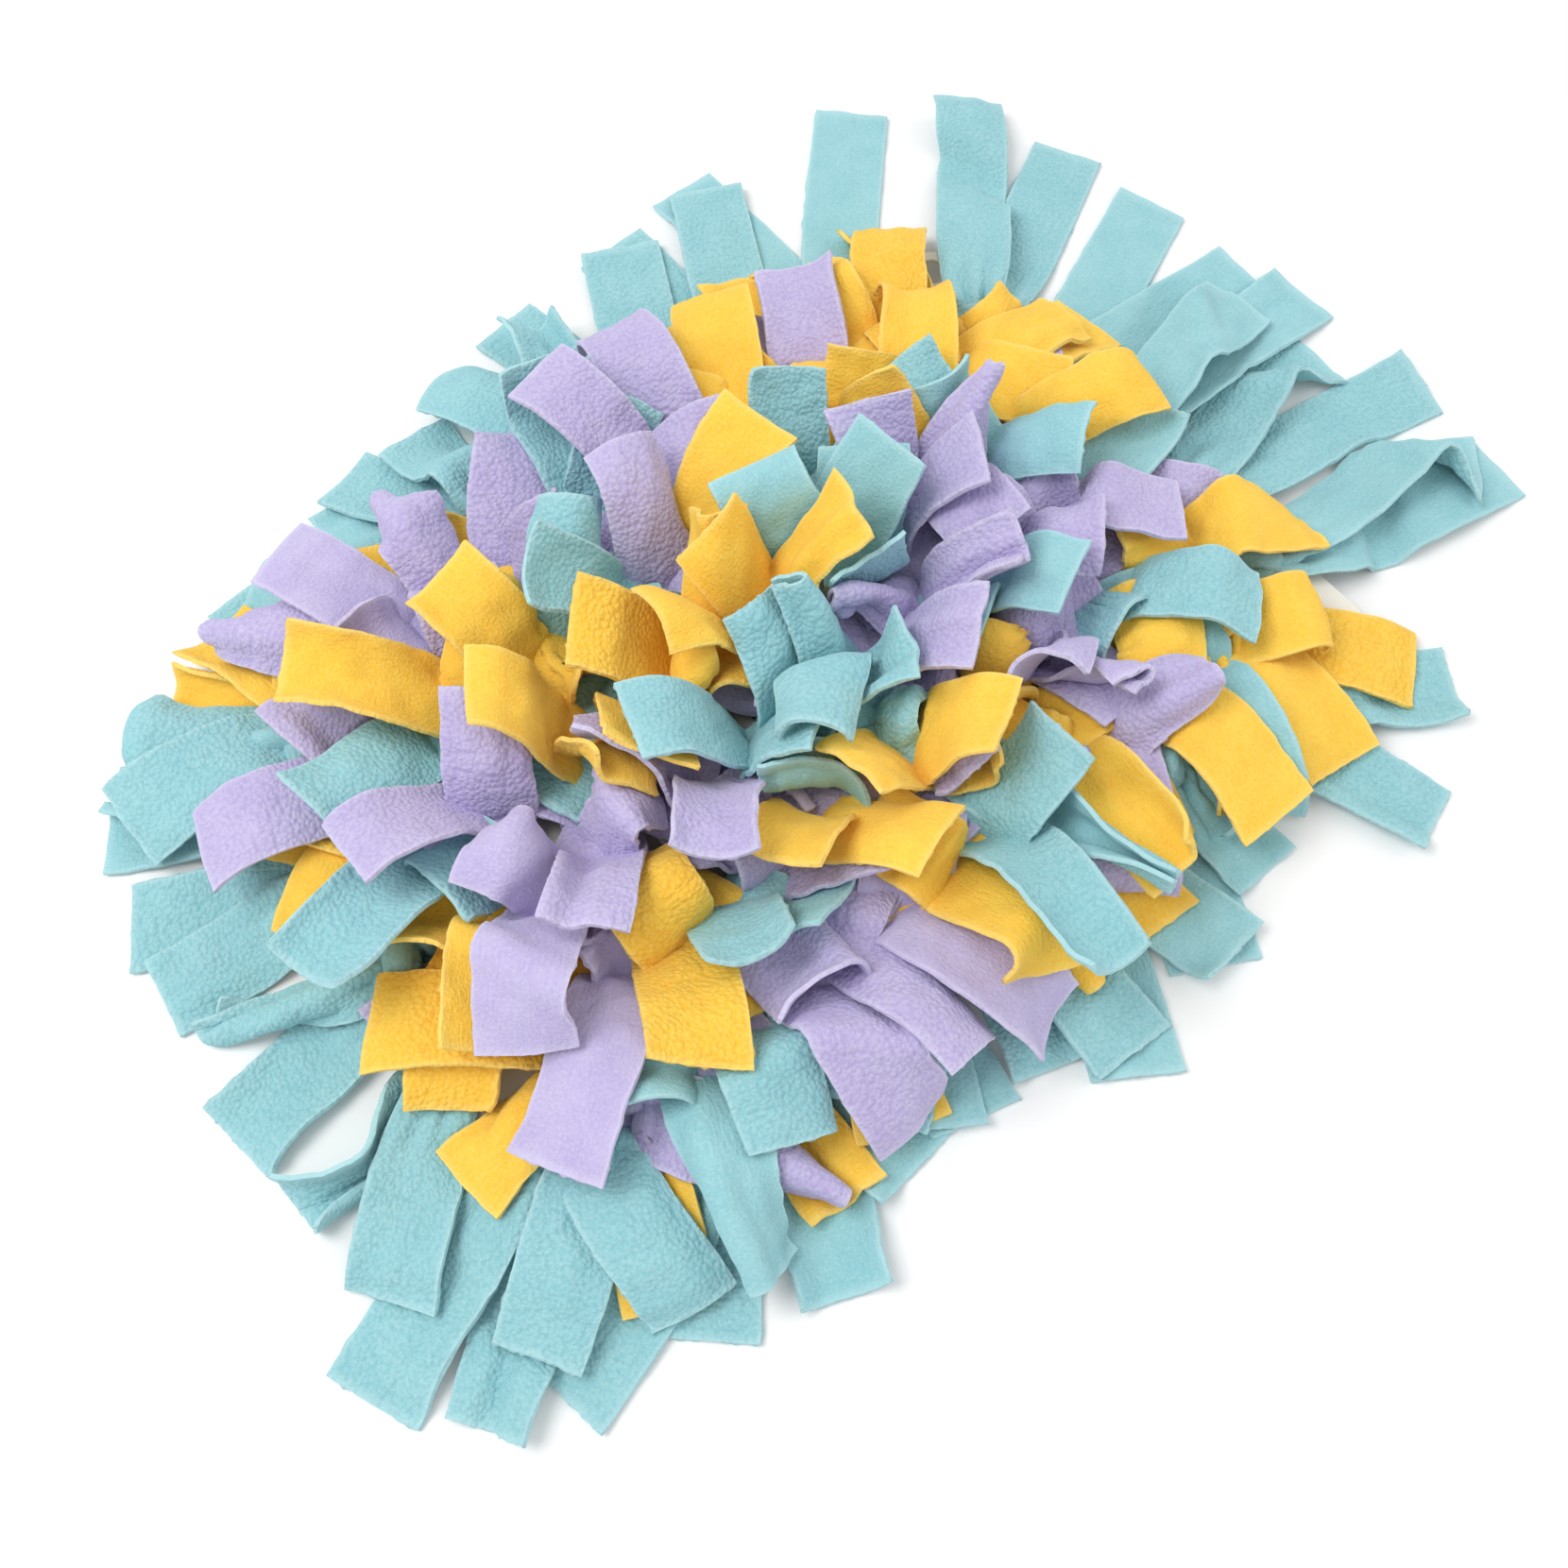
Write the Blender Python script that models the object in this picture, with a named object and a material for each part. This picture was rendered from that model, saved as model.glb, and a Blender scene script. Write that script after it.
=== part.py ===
"""Snuffle mat: fleece strips tied through a perforated plastic base, metres, +Z up."""

import math
import random

import bmesh
import bpy
import numpy as np
from mathutils import Matrix, Vector

MM = 0.001

# The base, a moulded plastic sheet
BASE_LENGTH = 300 * MM
BASE_WIDTH = 200 * MM
BASE_THICKNESS = 2 * MM
BASE_CORNER = 12 * MM
CORNER_POINTS = 4
WELD = 0.01 * MM
HOLE_RADIUS = 5.2 * MM
HOLE_SIDES = 6
HOLE_PITCH = 16.5 * MM
ROW_PITCH = 30 * MM
HOLE_COLUMNS = 18
HOLE_ROWS = 7

# A strip's bar under the base, its two legs through the holes and its knot
GAP = 0.3 * MM
BAR_THICKNESS = 3.8 * MM
LEG_SIDE = 5.8 * MM
LEG_SUNK = 1 * MM
KNOT_SIZE = (25 * MM, 17 * MM, 12.6 * MM)
KNOT_SEGMENTS = 8
KNOT_RINGS = 3
BASE_BOTTOM = BAR_THICKNESS + GAP
BASE_TOP = BASE_BOTTOM + BASE_THICKNESS
KNOT_BOTTOM = BASE_TOP + GAP
KNOT_MIDDLE = KNOT_BOTTOM + KNOT_SIZE[2] / 2

# A strip's tails
TAIL_WIDTH = 26 * MM
TAIL_THICKNESS = 2 * MM
ROOT_WIDTH = 10 * MM
ROOT_THICKNESS = 4.6 * MM
FLARE_LENGTH = 30 * MM
TAIL_SEGMENTS = 5
LEAST_PLAN_SHARE = 0.2

# The pile, a height map of what has been laid so far
CELL = 1 * MM
PILE_HALF = (270 * MM, 230 * MM)
CLEARANCE = 0.4 * MM
EDGE_CLEARANCE = 2 * MM
KNOT_BERTH = 15 * MM
MOST_CROWDED = 2 * MM
STEEPEST = 0.94
SHARPEST_DIP = 1.5 * MM
TRIES = 40
TALLEST = 60 * MM
LEAST_SPLIT = 1.0
LAST_KNOT = (8 * MM, 3 * MM)
OWN_REACH = 15 * MM
DENSE = 37
SAMPLES = 29
FEW_SAMPLES = 7
KNOT_SAMPLES = (49, 13)
SETTLED = 0.02 * MM
SETTLE_SHARE = 0.6
EASE_ROUNDS = 3

# What makes a try at a tail worse: its mean height and crowding, against its greatest height
MEAN_COST = 0.5
CROWDING_COST = 4
UNCLEAR_COST = 1
WIDENING_TRIES = 8

STRIP_COLUMNS = 9
SEED = 7
INNER_LENGTHS = ((56 * MM, 76 * MM), (48 * MM, 64 * MM))
LIFT_SPREAD = 0.15
DROOP_SPREAD = 0.2
YELLOW_SHARE = 0.8

# How a tail arches, for each ring from the outside in: its angle up from the knot and down at
# its tip, how soon it turns down, and the most that it rolls, bends and turns aside, in radians.
ARCHES = (
    {"lift": 0.15, "droop": 0.7, "hurry": 0.6, "roll": 0.0, "bend": 0.25, "turn": 0.2},
    {"lift": 0.45, "droop": 1.0, "hurry": 1.0, "roll": 0.3, "bend": 0.6, "turn": 0.7},
    {"lift": 0.55, "droop": 1.1, "hurry": 1.0, "roll": 0.4, "bend": 0.7, "turn": 1.2},
)

AQUA = "fleece_aqua"
YELLOW = "fleece_yellow"
LAVENDER = "fleece_lavender"
COLOURS = {
    AQUA: (0.28, 0.62, 0.67),
    YELLOW: (0.95, 0.55, 0.04),
    LAVENDER: (0.52, 0.42, 0.75),
    "base_plastic": (0.80, 0.77, 0.68),
}

MIDDLE_MIX = {LAVENDER: 0.76, AQUA: 0.14, YELLOW: 0.1}

# The outermost strips: the place of the knot as (column, row) from the middle, then for each
# tail its heading in degrees from +X and its length in mm.
RING = (
    # column, row, heading_a, length_a, heading_b, length_b
    (4, 2, 22, 98, 49, 114),
    (4, 1, 18, 102, 1, 96),
    (4, 0, -2, 107, 14, 98),
    (4, -1, -7, 107, 10, 96),
    (4, -2, -16, 105, -3, 98),
    (3, -3, -31, 69, -77, 66),
    (2, -3, -116, 62, -88, 44),
    (1, -3, -117, 71, -80, 57),
    (0, -3, -117, 49, -84, 64),
    (-1, -3, -96, 44, -124, 44),
    (-2, -3, -118, 65, -90, 42),
    (-3, -3, -126, 52, -152, 76),
    (-4, -2, -131, 73, -163, 77),
    (-4, -1, -173, 64, -148, 72),
    (-4, 0, -174, 65, 158, 65),
    (-4, 1, 151, 64, 179, 62),
    (-4, 2, 153, 58, 126, 52),
    (-3, 3, 168, 62, 99, 50),
    (-2, 3, 134, 58, 88, 68),
    (-1, 3, 115, 75, 79, 78),
    (0, 3, 104, 79, 76, 84),
    (1, 3, 99, 82, 70, 88),
    (2, 3, 94, 85, 68, 92),
    (3, 3, 92, 90, 52, 108),
)


class Pile:
    """The top of everything laid so far, as one height for each cell of a square grid."""

    def __init__(self):
        self.size = tuple(int(2 * half / CELL) + 1 for half in PILE_HALF)
        self.top = np.full(self.size, -CLEARANCE)
        self.wide = self.top.copy()

    def cells(self, points):
        """The grid indices of each point, as two arrays."""
        column = np.clip(((points[:, 0] + PILE_HALF[0]) / CELL).astype(int), 1, self.size[0] - 2)
        row = np.clip(((points[:, 1] + PILE_HALF[1]) / CELL).astype(int), 1, self.size[1] - 2)
        return column, row

    def add(self, points):
        """Raises the pile to these points of a piece's upper side."""
        np.maximum.at(self.top, self.cells(points), points[:, 2])
        rows = np.maximum.reduce([np.roll(self.top, shift, 0) for shift in (-1, 0, 1)])
        self.wide = np.maximum.reduce([np.roll(rows, shift, 1) for shift in (-1, 0, 1)])

    def mark(self):
        """Remembers the pile as it is before a strip is laid."""
        self.marked = self.wide.copy()

    def under(self, points, knot):
        """The highest that the pile stands in the cells at and around each point.

        At a strip's own knot its other tail doesn't count, because both grow out of the knot.
        """
        cells = self.cells(points)
        away = np.hypot(points[:, 0] - knot[0], points[:, 1] - knot[1])
        return np.where(away < OWN_REACH, self.marked[cells], self.wide[cells])


def tail_width(along):
    """The width of a tail at this distance from its knot: gathered there, then full."""
    share = min(1.0, along / FLARE_LENGTH)
    share = share * share * (3 - 2 * share)
    return ROOT_WIDTH + (TAIL_WIDTH - ROOT_WIDTH) * share


def tail_thickness(along):
    """The gathers at the root make a tail thicker there."""
    share = min(1.0, along / FLARE_LENGTH)
    return ROOT_THICKNESS + (TAIL_THICKNESS - ROOT_THICKNESS) * share


class Tail:
    """One loose end of a strip: stations along its middle, each with a height and a roll."""

    def __init__(self, knot, heading, length, bend, lift, droop, hurry, roll):
        self.knot = knot
        self.step = length / TAIL_SEGMENTS
        self.along = self.step * np.arange(TAIL_SEGMENTS + 1)
        share = self.along / length
        self.headings = heading + bend * share
        self.roll = roll * share
        self.widths = np.array([tail_width(s) for s in self.along])
        self.thick = np.array([tail_thickness(s) for s in self.along])
        climb = lift - (lift + droop) * ((share[:-1] + share[1:]) / 2) ** hurry
        rises = self.step * np.sin(climb)
        self.height = KNOT_MIDDLE - ROOT_THICKNESS / 2 + np.concatenate(([0.0], np.cumsum(rises)))
        self.height = np.maximum(self.height, 0.0)
        self.place()

    def place(self):
        """Works out where the stations lie in plan, so that each step keeps its length."""
        rises = np.diff(self.height)
        flat = np.sqrt(np.maximum(self.step**2 - rises**2, (LEAST_PLAN_SHARE * self.step) ** 2))
        middle = (self.headings[:-1] + self.headings[1:]) / 2
        x = np.concatenate(([0.0], np.cumsum(flat * np.cos(middle)))) + self.knot[0]
        y = np.concatenate(([0.0], np.cumsum(flat * np.sin(middle)))) + self.knot[1]
        self.middle = np.stack((x, y, self.height), axis=1)
        side = np.stack(
            (
                -np.sin(self.headings) * np.cos(self.roll),
                np.cos(self.headings) * np.cos(self.roll),
                np.sin(self.roll),
            ),
            axis=1,
        )
        half = side * self.widths[:, None] / 2
        self.left = self.middle + half
        self.right = self.middle - half
        forward = np.gradient(self.middle, axis=0)
        normal = np.cross(forward, side)
        normal /= np.linalg.norm(normal, axis=1, keepdims=True)
        self.upward = normal * self.thick[:, None]

    def surface(self, first, last, top, count=SAMPLES):
        """Points of the lower or upper side between two stations, on its two triangles a step."""
        found = []
        shift = self.upward if top else 0 * self.upward
        across, onward = np.meshgrid(np.linspace(0, 1, count), np.linspace(0, 1, count))
        across, onward = across.reshape(-1, 1), onward.reshape(-1, 1)
        for i in range(first, last):
            l0, l1 = self.left[i] + shift[i], self.left[i + 1] + shift[i + 1]
            r0, r1 = self.right[i] + shift[i], self.right[i + 1] + shift[i + 1]
            near = l0 + across * (r0 - l0) + onward * (r1 - r0)
            far = l0 + onward * (l1 - l0) + across * (r1 - l1)
            found.append(np.where(across >= onward, near, far))
        return found

    def settle(self, pile):
        """Raises the stations until the lower side is clear of the pile."""
        while self.height.max() < TALLEST:
            lifts = np.zeros(len(self.height))
            for i, points in enumerate(self.surface(0, TAIL_SEGMENTS, False)):
                short = pile.under(points, self.knot) + CLEARANCE - points[:, 2]
                lifts[i : i + 2] = np.maximum(lifts[i : i + 2], short.max())
            if lifts.max() < SETTLED:
                return True
            self.height[1:] += SETTLE_SHARE * lifts[1:] + SETTLED * (lifts[1:] > 0)
            self.ease()
            self.place()
        return False

    def ease(self):
        """Raises what stands beside a raised station: no step is too steep and no dip too sharp."""
        most = STEEPEST * self.step
        for _ in range(EASE_ROUNDS):
            for i in range(len(self.height) - 2, 0, -1):
                level = (self.height[i - 1] + self.height[i + 1]) / 2 - SHARPEST_DIP
                self.height[i] = max(self.height[i], self.height[i + 1] - most, level)
            for i in range(1, len(self.height)):
                self.height[i] = max(self.height[i], self.height[i - 1] - most)


def knot_place(column, row):
    """The plan position of the knot at this column and row from the middle."""
    return (column * 2 * HOLE_PITCH, row * ROW_PITCH)


def ring_of(column, row):
    """0 for the outermost strips, 1 for those inside them, 2 for the middle."""
    return min(2, min(STRIP_COLUMNS // 2 - abs(column), HOLE_ROWS // 2 - abs(row)))


def is_corner(column, row):
    """The four corner holes stay empty."""
    return abs(column) == STRIP_COLUMNS // 2 and abs(row) == HOLE_ROWS // 2


def crowding(tail, waiting):
    """How far a tail comes into the room that the knots still to be laid need above them."""
    if not waiting:
        return 0.0
    points = np.concatenate(tail.surface(0, TAIL_SEGMENTS, False, FEW_SAMPLES))[:, None, :2]
    nearest = np.linalg.norm(points - np.array(waiting)[None], axis=2).min()
    return max(0.0, KNOT_BERTH - float(nearest))


def outward(knot):
    """The heading from the middle of the mat, in the proportions of the base."""
    return math.atan2(knot[1] / BASE_WIDTH, knot[0] / BASE_LENGTH)


def lay_order(spots):
    """The outer rings first, and in each ring the knots furthest from the last one laid."""

    def rank(spot):
        x, y = knot_place(*spot)
        away = math.hypot((x - LAST_KNOT[0]) / BASE_LENGTH, (y - LAST_KNOT[1]) / BASE_WIDTH)
        return (ring_of(*spot), -away)

    return sorted(spots, key=rank)


def lay_strips():
    """Lays every strip's two tails, the outermost strips first. Returns {(column, row): tails}."""
    draw = random.Random(SEED)
    columns = range(-(STRIP_COLUMNS // 2), STRIP_COLUMNS // 2 + 1)
    rows = range(-(HOLE_ROWS // 2), HOLE_ROWS // 2 + 1)
    spots = [(c, r) for c in columns for r in rows if not is_corner(c, r)]
    ring = {row[:2]: row[2:] for row in RING}
    pile = Pile()
    lay_base(pile)
    laid, waiting = {}, [knot_place(*spot) for spot in spots]
    for spot in lay_order(spots):
        knot = knot_place(*spot)
        waiting.remove(knot)
        pile.mark()
        first, length, second, other = ring.get(spot, (None,) * 4)
        tail = lay_tail(draw, pile, knot, waiting, ring_of(*spot), first, length)
        mate = lay_tail(draw, pile, knot, waiting, ring_of(*spot), second, other, tail.headings[0])
        lay_knot(pile, knot)
        for one in (tail, mate):
            pile.add(one.surface(0, 1, True, DENSE)[0])
        laid[spot] = (tail, mate)
    return laid


def lay_tail(draw, pile, knot, waiting, ring, heading=None, length=None, mate=None):
    """Lays one tail on the pile, with the arch of its ring: the lowest of a few tries."""
    arch = ARCHES[ring]
    best, found = None, None
    for attempt in range(TRIES):
        if heading is None:
            turn = outward(knot) + draw.gauss(0, arch["turn"])
            reach = draw.uniform(*INNER_LENGTHS[ring - 1])
        else:
            spread = arch["turn"] * min(1.0, attempt / WIDENING_TRIES)
            turn = math.radians(heading) + spread * draw.uniform(-1, 1)
            reach = length * MM
        tail = Tail(
            knot,
            turn,
            reach,
            arch["bend"] * draw.uniform(-1, 1),
            arch["lift"] + draw.uniform(-LIFT_SPREAD, LIFT_SPREAD),
            arch["droop"] + draw.uniform(-DROOP_SPREAD, DROOP_SPREAD),
            arch["hurry"],
            arch["roll"] * draw.uniform(-1, 1),
        )
        if heading is None and mate is not None and math.cos(turn - mate) > math.cos(LEAST_SPLIT):
            continue
        clear = tail.settle(pile)
        crowded = crowding(tail, waiting)
        clear = clear and crowded < MOST_CROWDED
        cost = tail.height.max() + MEAN_COST * tail.height.mean() + CROWDING_COST * crowded
        cost += 0 if clear else UNCLEAR_COST
        if best is None or cost < best:
            best, found = cost, tail
        if heading is not None and clear:
            break
    if best > UNCLEAR_COST:
        print(f"the tail at {knot} isn't clear of the pile")
    for points in found.surface(1, TAIL_SEGMENTS, True, DENSE):
        pile.add(points)
    return found


def lay_base(pile):
    """Puts the base on the pile, with the room that cloth keeps from its edges."""
    reaches = [side / 2 + EDGE_CLEARANCE for side in (BASE_LENGTH, BASE_WIDTH)]
    lines = [np.arange(-reach, reach + CELL / 2, CELL / 2) for reach in reaches]
    x, y = (grid.ravel() for grid in np.meshgrid(*lines))
    pile.add(np.stack((x, y, np.full(len(x), BASE_TOP + EDGE_CLEARANCE - CLEARANCE)), axis=1))


def lay_knot(pile, knot):
    """Puts the upper half of a knot on the pile."""
    around = np.linspace(0, math.tau, KNOT_SAMPLES[0])
    up = np.linspace(0, math.pi / 2, KNOT_SAMPLES[1])
    around, up = np.meshgrid(around, up)
    around, up = around.ravel(), up.ravel()
    x = knot[0] + KNOT_SIZE[0] / 2 * np.cos(up) * np.cos(around)
    y = knot[1] + KNOT_SIZE[1] / 2 * np.cos(up) * np.sin(around)
    pile.add(np.stack((x, y, KNOT_MIDDLE + KNOT_SIZE[2] / 2 * np.sin(up)), axis=1))


def clear_scene():
    """Removes what the scene starts with."""
    for obj in list(bpy.data.objects):
        bpy.data.objects.remove(obj, do_unlink=True)


def material(name):
    """A Principled material of one colour, made once."""
    found = bpy.data.materials.get(name)
    if found is None:
        found = bpy.data.materials.new(name)
        found.use_nodes = True
        shader = found.node_tree.nodes["Principled BSDF"]
        shader.inputs["Base Color"].default_value = (*COLOURS[name], 1)
        shader.inputs["Roughness"].default_value = 0.45 if name == "base_plastic" else 0.95
        shader.inputs["Metallic"].default_value = 0
    return found


def new_object(name, mesh, collection):
    """An object of this mesh in a collection."""
    obj = bpy.data.objects.new(name, mesh)
    collection.objects.link(obj)
    return obj


def mesh_of(name, shape):
    """A mesh from a bmesh, which is freed."""
    mesh = bpy.data.meshes.new(name)
    shape.to_mesh(mesh)
    shape.free()
    return mesh


def tail_mesh(tail):
    """A closed four-sided loft through a tail's stations."""
    shape = bmesh.new()
    rings = []
    for i in range(len(tail.along)):
        corners = (
            tail.left[i],
            tail.right[i],
            tail.right[i] + tail.upward[i],
            tail.left[i] + tail.upward[i],
        )
        rings.append([shape.verts.new(corner) for corner in corners])
    for near, far in zip(rings, rings[1:]):
        for k in range(4):
            a, b, c, d = near[k], near[(k + 1) % 4], far[(k + 1) % 4], far[k]
            if k == 2:  # the upper side is split along the same diagonal as the lower
                shape.faces.new((a, b, d))
                shape.faces.new((b, c, d))
            else:
                shape.faces.new((a, b, c))
                shape.faces.new((a, c, d))
    shape.faces.new(rings[0])
    shape.faces.new(rings[-1][::-1])
    bmesh.ops.recalc_face_normals(shape, faces=shape.faces)
    return mesh_of("tail", shape)


def knot_mesh(knot):
    """The lump of a knot, just above the base."""
    shape = bmesh.new()
    bmesh.ops.create_uvsphere(shape, u_segments=KNOT_SEGMENTS, v_segments=KNOT_RINGS, radius=0.5)
    place = Matrix.Translation((*knot, KNOT_MIDDLE)) @ Matrix.Diagonal((*KNOT_SIZE, 1))
    bmesh.ops.transform(shape, matrix=place, verts=shape.verts)
    return mesh_of("knot", shape)


def staple_mesh(knot):
    """The bar under the base and the two legs that go up through the holes, as one bent strap."""
    outer = (HOLE_PITCH + LEG_SIDE) / 2
    inner = (HOLE_PITCH - LEG_SIDE) / 2
    top = KNOT_MIDDLE - LEG_SUNK
    outline = (
        (-outer, top),
        (-outer, 0),
        (outer, 0),
        (outer, top),
        (inner, top),
        (inner, BAR_THICKNESS),
        (-inner, BAR_THICKNESS),
        (-inner, top),
    )
    shape = bmesh.new()
    front, y = LEG_SIDE / 2, knot[1]
    face = shape.faces.new([shape.verts.new((knot[0] + x, y - front, z)) for x, z in outline])
    grown = bmesh.ops.extrude_face_region(shape, geom=[face])
    moved = [part for part in grown["geom"] if isinstance(part, bmesh.types.BMVert)]
    bmesh.ops.translate(shape, vec=(0, LEG_SIDE, 0), verts=moved)
    bmesh.ops.recalc_face_normals(shape, faces=shape.faces)
    return mesh_of("staple", shape)


def fused(name, meshes):
    """One solid made by a Boolean union of closed meshes."""
    pieces = bpy.data.collections.new("pieces")
    bpy.context.scene.collection.children.link(pieces)
    first = new_object(name, meshes[0], bpy.context.scene.collection)
    others = [new_object("piece", mesh, pieces) for mesh in meshes[1:]]
    union = first.modifiers.new("union", "BOOLEAN")
    union.operation = "UNION"
    union.operand_type = "COLLECTION"
    union.collection = pieces
    seen = first.evaluated_get(bpy.context.evaluated_depsgraph_get())
    mesh = bpy.data.meshes.new_from_object(seen)
    for obj in (first, *others):
        bpy.data.objects.remove(obj, do_unlink=True)
    bpy.data.collections.remove(pieces)
    return mesh


def colour_of(draw, spot):
    """Aqua round the outside, yellow inside it and mostly lavender in the middle."""
    ring = ring_of(*spot)
    if ring == 0:
        return AQUA
    if ring == 1:
        return YELLOW if draw.random() < YELLOW_SHARE else LAVENDER
    return draw.choices(list(MIDDLE_MIX), list(MIDDLE_MIX.values()))[0]


def make_strips(collection):
    """Every tied strip, as one object each."""
    draw = random.Random(SEED + 1)
    for spot, tails in sorted(lay_strips().items()):
        knot = knot_place(*spot)
        column, row = spot[0] + STRIP_COLUMNS // 2 + 1, spot[1] + HOLE_ROWS // 2 + 1
        name = f"strip_{column}_{row}"
        meshes = [knot_mesh(knot), staple_mesh(knot), *(tail_mesh(tail) for tail in tails)]
        obj = new_object(name, fused(name, meshes), collection)
        obj.data.materials.clear()
        obj.data.materials.append(material(colour_of(draw, spot)))


def make_base(collection):
    """The perforated sheet: a flat curve with round holes in it, extruded."""
    curve = bpy.data.curves.new("base", "CURVE")
    curve.dimensions = "2D"
    curve.fill_mode = "BOTH"
    curve.extrude = BASE_THICKNESS / 2
    outline = []
    for quarter, (x, y) in enumerate(((1, 1), (-1, 1), (-1, -1), (1, -1))):
        for k in range(CORNER_POINTS):
            angle = math.pi / 2 * (quarter + k / (CORNER_POINTS - 1))
            outline.append(
                (
                    x * (BASE_LENGTH / 2 - BASE_CORNER) + BASE_CORNER * math.cos(angle),
                    y * (BASE_WIDTH / 2 - BASE_CORNER) + BASE_CORNER * math.sin(angle),
                )
            )
    add_loop(curve, outline)
    for column in range(HOLE_COLUMNS):
        for row in range(HOLE_ROWS):
            x = (column - (HOLE_COLUMNS - 1) / 2) * HOLE_PITCH
            y = (row - (HOLE_ROWS - 1) / 2) * ROW_PITCH
            turns = (math.tau * (k + 0.5) / HOLE_SIDES for k in range(HOLE_SIDES))
            add_loop(curve, [(x + HOLE_RADIUS * math.cos(t), y + HOLE_RADIUS * math.sin(t)) for t in turns])
    flat = new_object("base_curve", curve, collection)
    mesh = bpy.data.meshes.new_from_object(flat.evaluated_get(bpy.context.evaluated_depsgraph_get()))
    bpy.data.objects.remove(flat, do_unlink=True)
    shape = bmesh.new()
    shape.from_mesh(mesh)
    bmesh.ops.remove_doubles(shape, verts=shape.verts, dist=WELD)
    shape.to_mesh(mesh)
    shape.free()
    base = new_object("base", mesh, collection)
    base.location.z = BASE_BOTTOM + BASE_THICKNESS / 2
    mesh.materials.clear()
    mesh.materials.append(material("base_plastic"))


def add_loop(curve, points):
    """A closed straight-sided loop in a curve."""
    loop = curve.splines.new("POLY")
    loop.points.add(len(points) - 1)
    for point, place in zip(loop.points, points):
        point.co = (*place, 0, 1)
    loop.use_cyclic_u = True


def centre(objects):
    """Moves the whole mat so that the origin is under the middle of its box."""
    bpy.context.view_layer.update()
    corners = [obj.matrix_world @ Vector(corner) for obj in objects for corner in obj.bound_box]
    middle = [(min(c[i] for c in corners) + max(c[i] for c in corners)) / 2 for i in (0, 1)]
    for obj in objects:
        obj.location.x -= middle[0]
        obj.location.y -= middle[1]


def main():
    clear_scene()
    collection = bpy.data.collections.new("snuffle_mat")
    bpy.context.scene.collection.children.link(collection)
    make_base(collection)
    make_strips(collection)
    centre(list(collection.objects))


main()
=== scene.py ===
"""Looks of the snuffle mat: fleece tails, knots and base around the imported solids, metres, +Z up."""

import math
import random

import bmesh
import bpy
import numpy as np
from mathutils import Matrix, Vector

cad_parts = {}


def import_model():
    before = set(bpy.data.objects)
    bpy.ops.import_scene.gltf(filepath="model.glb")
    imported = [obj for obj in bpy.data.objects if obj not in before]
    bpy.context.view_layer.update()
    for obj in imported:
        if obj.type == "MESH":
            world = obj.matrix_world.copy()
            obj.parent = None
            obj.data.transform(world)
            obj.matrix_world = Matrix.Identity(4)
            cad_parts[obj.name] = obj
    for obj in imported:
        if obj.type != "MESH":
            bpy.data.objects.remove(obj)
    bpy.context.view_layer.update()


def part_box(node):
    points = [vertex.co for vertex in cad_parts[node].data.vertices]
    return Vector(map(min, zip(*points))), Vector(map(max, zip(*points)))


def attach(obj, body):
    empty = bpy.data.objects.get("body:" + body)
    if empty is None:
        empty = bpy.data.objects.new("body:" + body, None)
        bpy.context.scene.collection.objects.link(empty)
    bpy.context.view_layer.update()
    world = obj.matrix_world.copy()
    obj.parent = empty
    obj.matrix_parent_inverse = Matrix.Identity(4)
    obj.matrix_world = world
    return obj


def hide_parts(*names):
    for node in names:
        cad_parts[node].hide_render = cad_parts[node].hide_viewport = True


MM = 0.001

# The base, a moulded plastic sheet
BASE_LENGTH = 300 * MM
BASE_WIDTH = 200 * MM
BASE_THICKNESS = 2 * MM
BASE_CORNER = 12 * MM
BASE_EDGE = 0.45 * MM
CORNER_STEPS = 8
MERGED = 0.01 * MM
HOLE_RADIUS = 5.2 * MM
HOLE_SIDES = 28
HOLE_PITCH = 16.5 * MM
ROW_PITCH = 30 * MM
HOLE_COLUMNS = 18
HOLE_ROWS = 7

# The knots' place above the base
GAP = 0.3 * MM
BAR_THICKNESS = 3.8 * MM
KNOT_SIZE = (25 * MM, 17 * MM, 12.6 * MM)
BASE_BOTTOM = BAR_THICKNESS + GAP
BASE_TOP = BASE_BOTTOM + BASE_THICKNESS
KNOT_BOTTOM = BASE_TOP + GAP
KNOT_MIDDLE = KNOT_BOTTOM + KNOT_SIZE[2] / 2

# A tail's coarse shape, as in the solids
TAIL_WIDTH = 26 * MM
TAIL_THICKNESS = 2 * MM
ROOT_WIDTH = 10 * MM
ROOT_THICKNESS = 4.6 * MM
FLARE_LENGTH = 30 * MM
TAIL_SEGMENTS = 5
LEAST_PLAN_SHARE = 0.2

# The pile, a height map of what has been laid so far
CELL = 1 * MM
PILE_HALF = (270 * MM, 230 * MM)
CLEARANCE = 0.4 * MM
EDGE_CLEARANCE = 2 * MM
KNOT_BERTH = 15 * MM
MOST_CROWDED = 2 * MM
STEEPEST = 0.94
SHARPEST_DIP = 1.5 * MM
TRIES = 40
TALLEST = 60 * MM
LEAST_SPLIT = 1.0
LAST_KNOT = (8 * MM, 3 * MM)
OWN_REACH = 15 * MM
DENSE = 37
SAMPLES = 29
FEW_SAMPLES = 7
KNOT_SAMPLES = (49, 13)
SETTLED = 0.02 * MM
SETTLE_SHARE = 0.6
EASE_ROUNDS = 3

# What makes a try at a tail worse: its mean height and crowding, against its greatest height
MEAN_COST = 0.5
CROWDING_COST = 4
UNCLEAR_COST = 1
WIDENING_TRIES = 8

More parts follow.
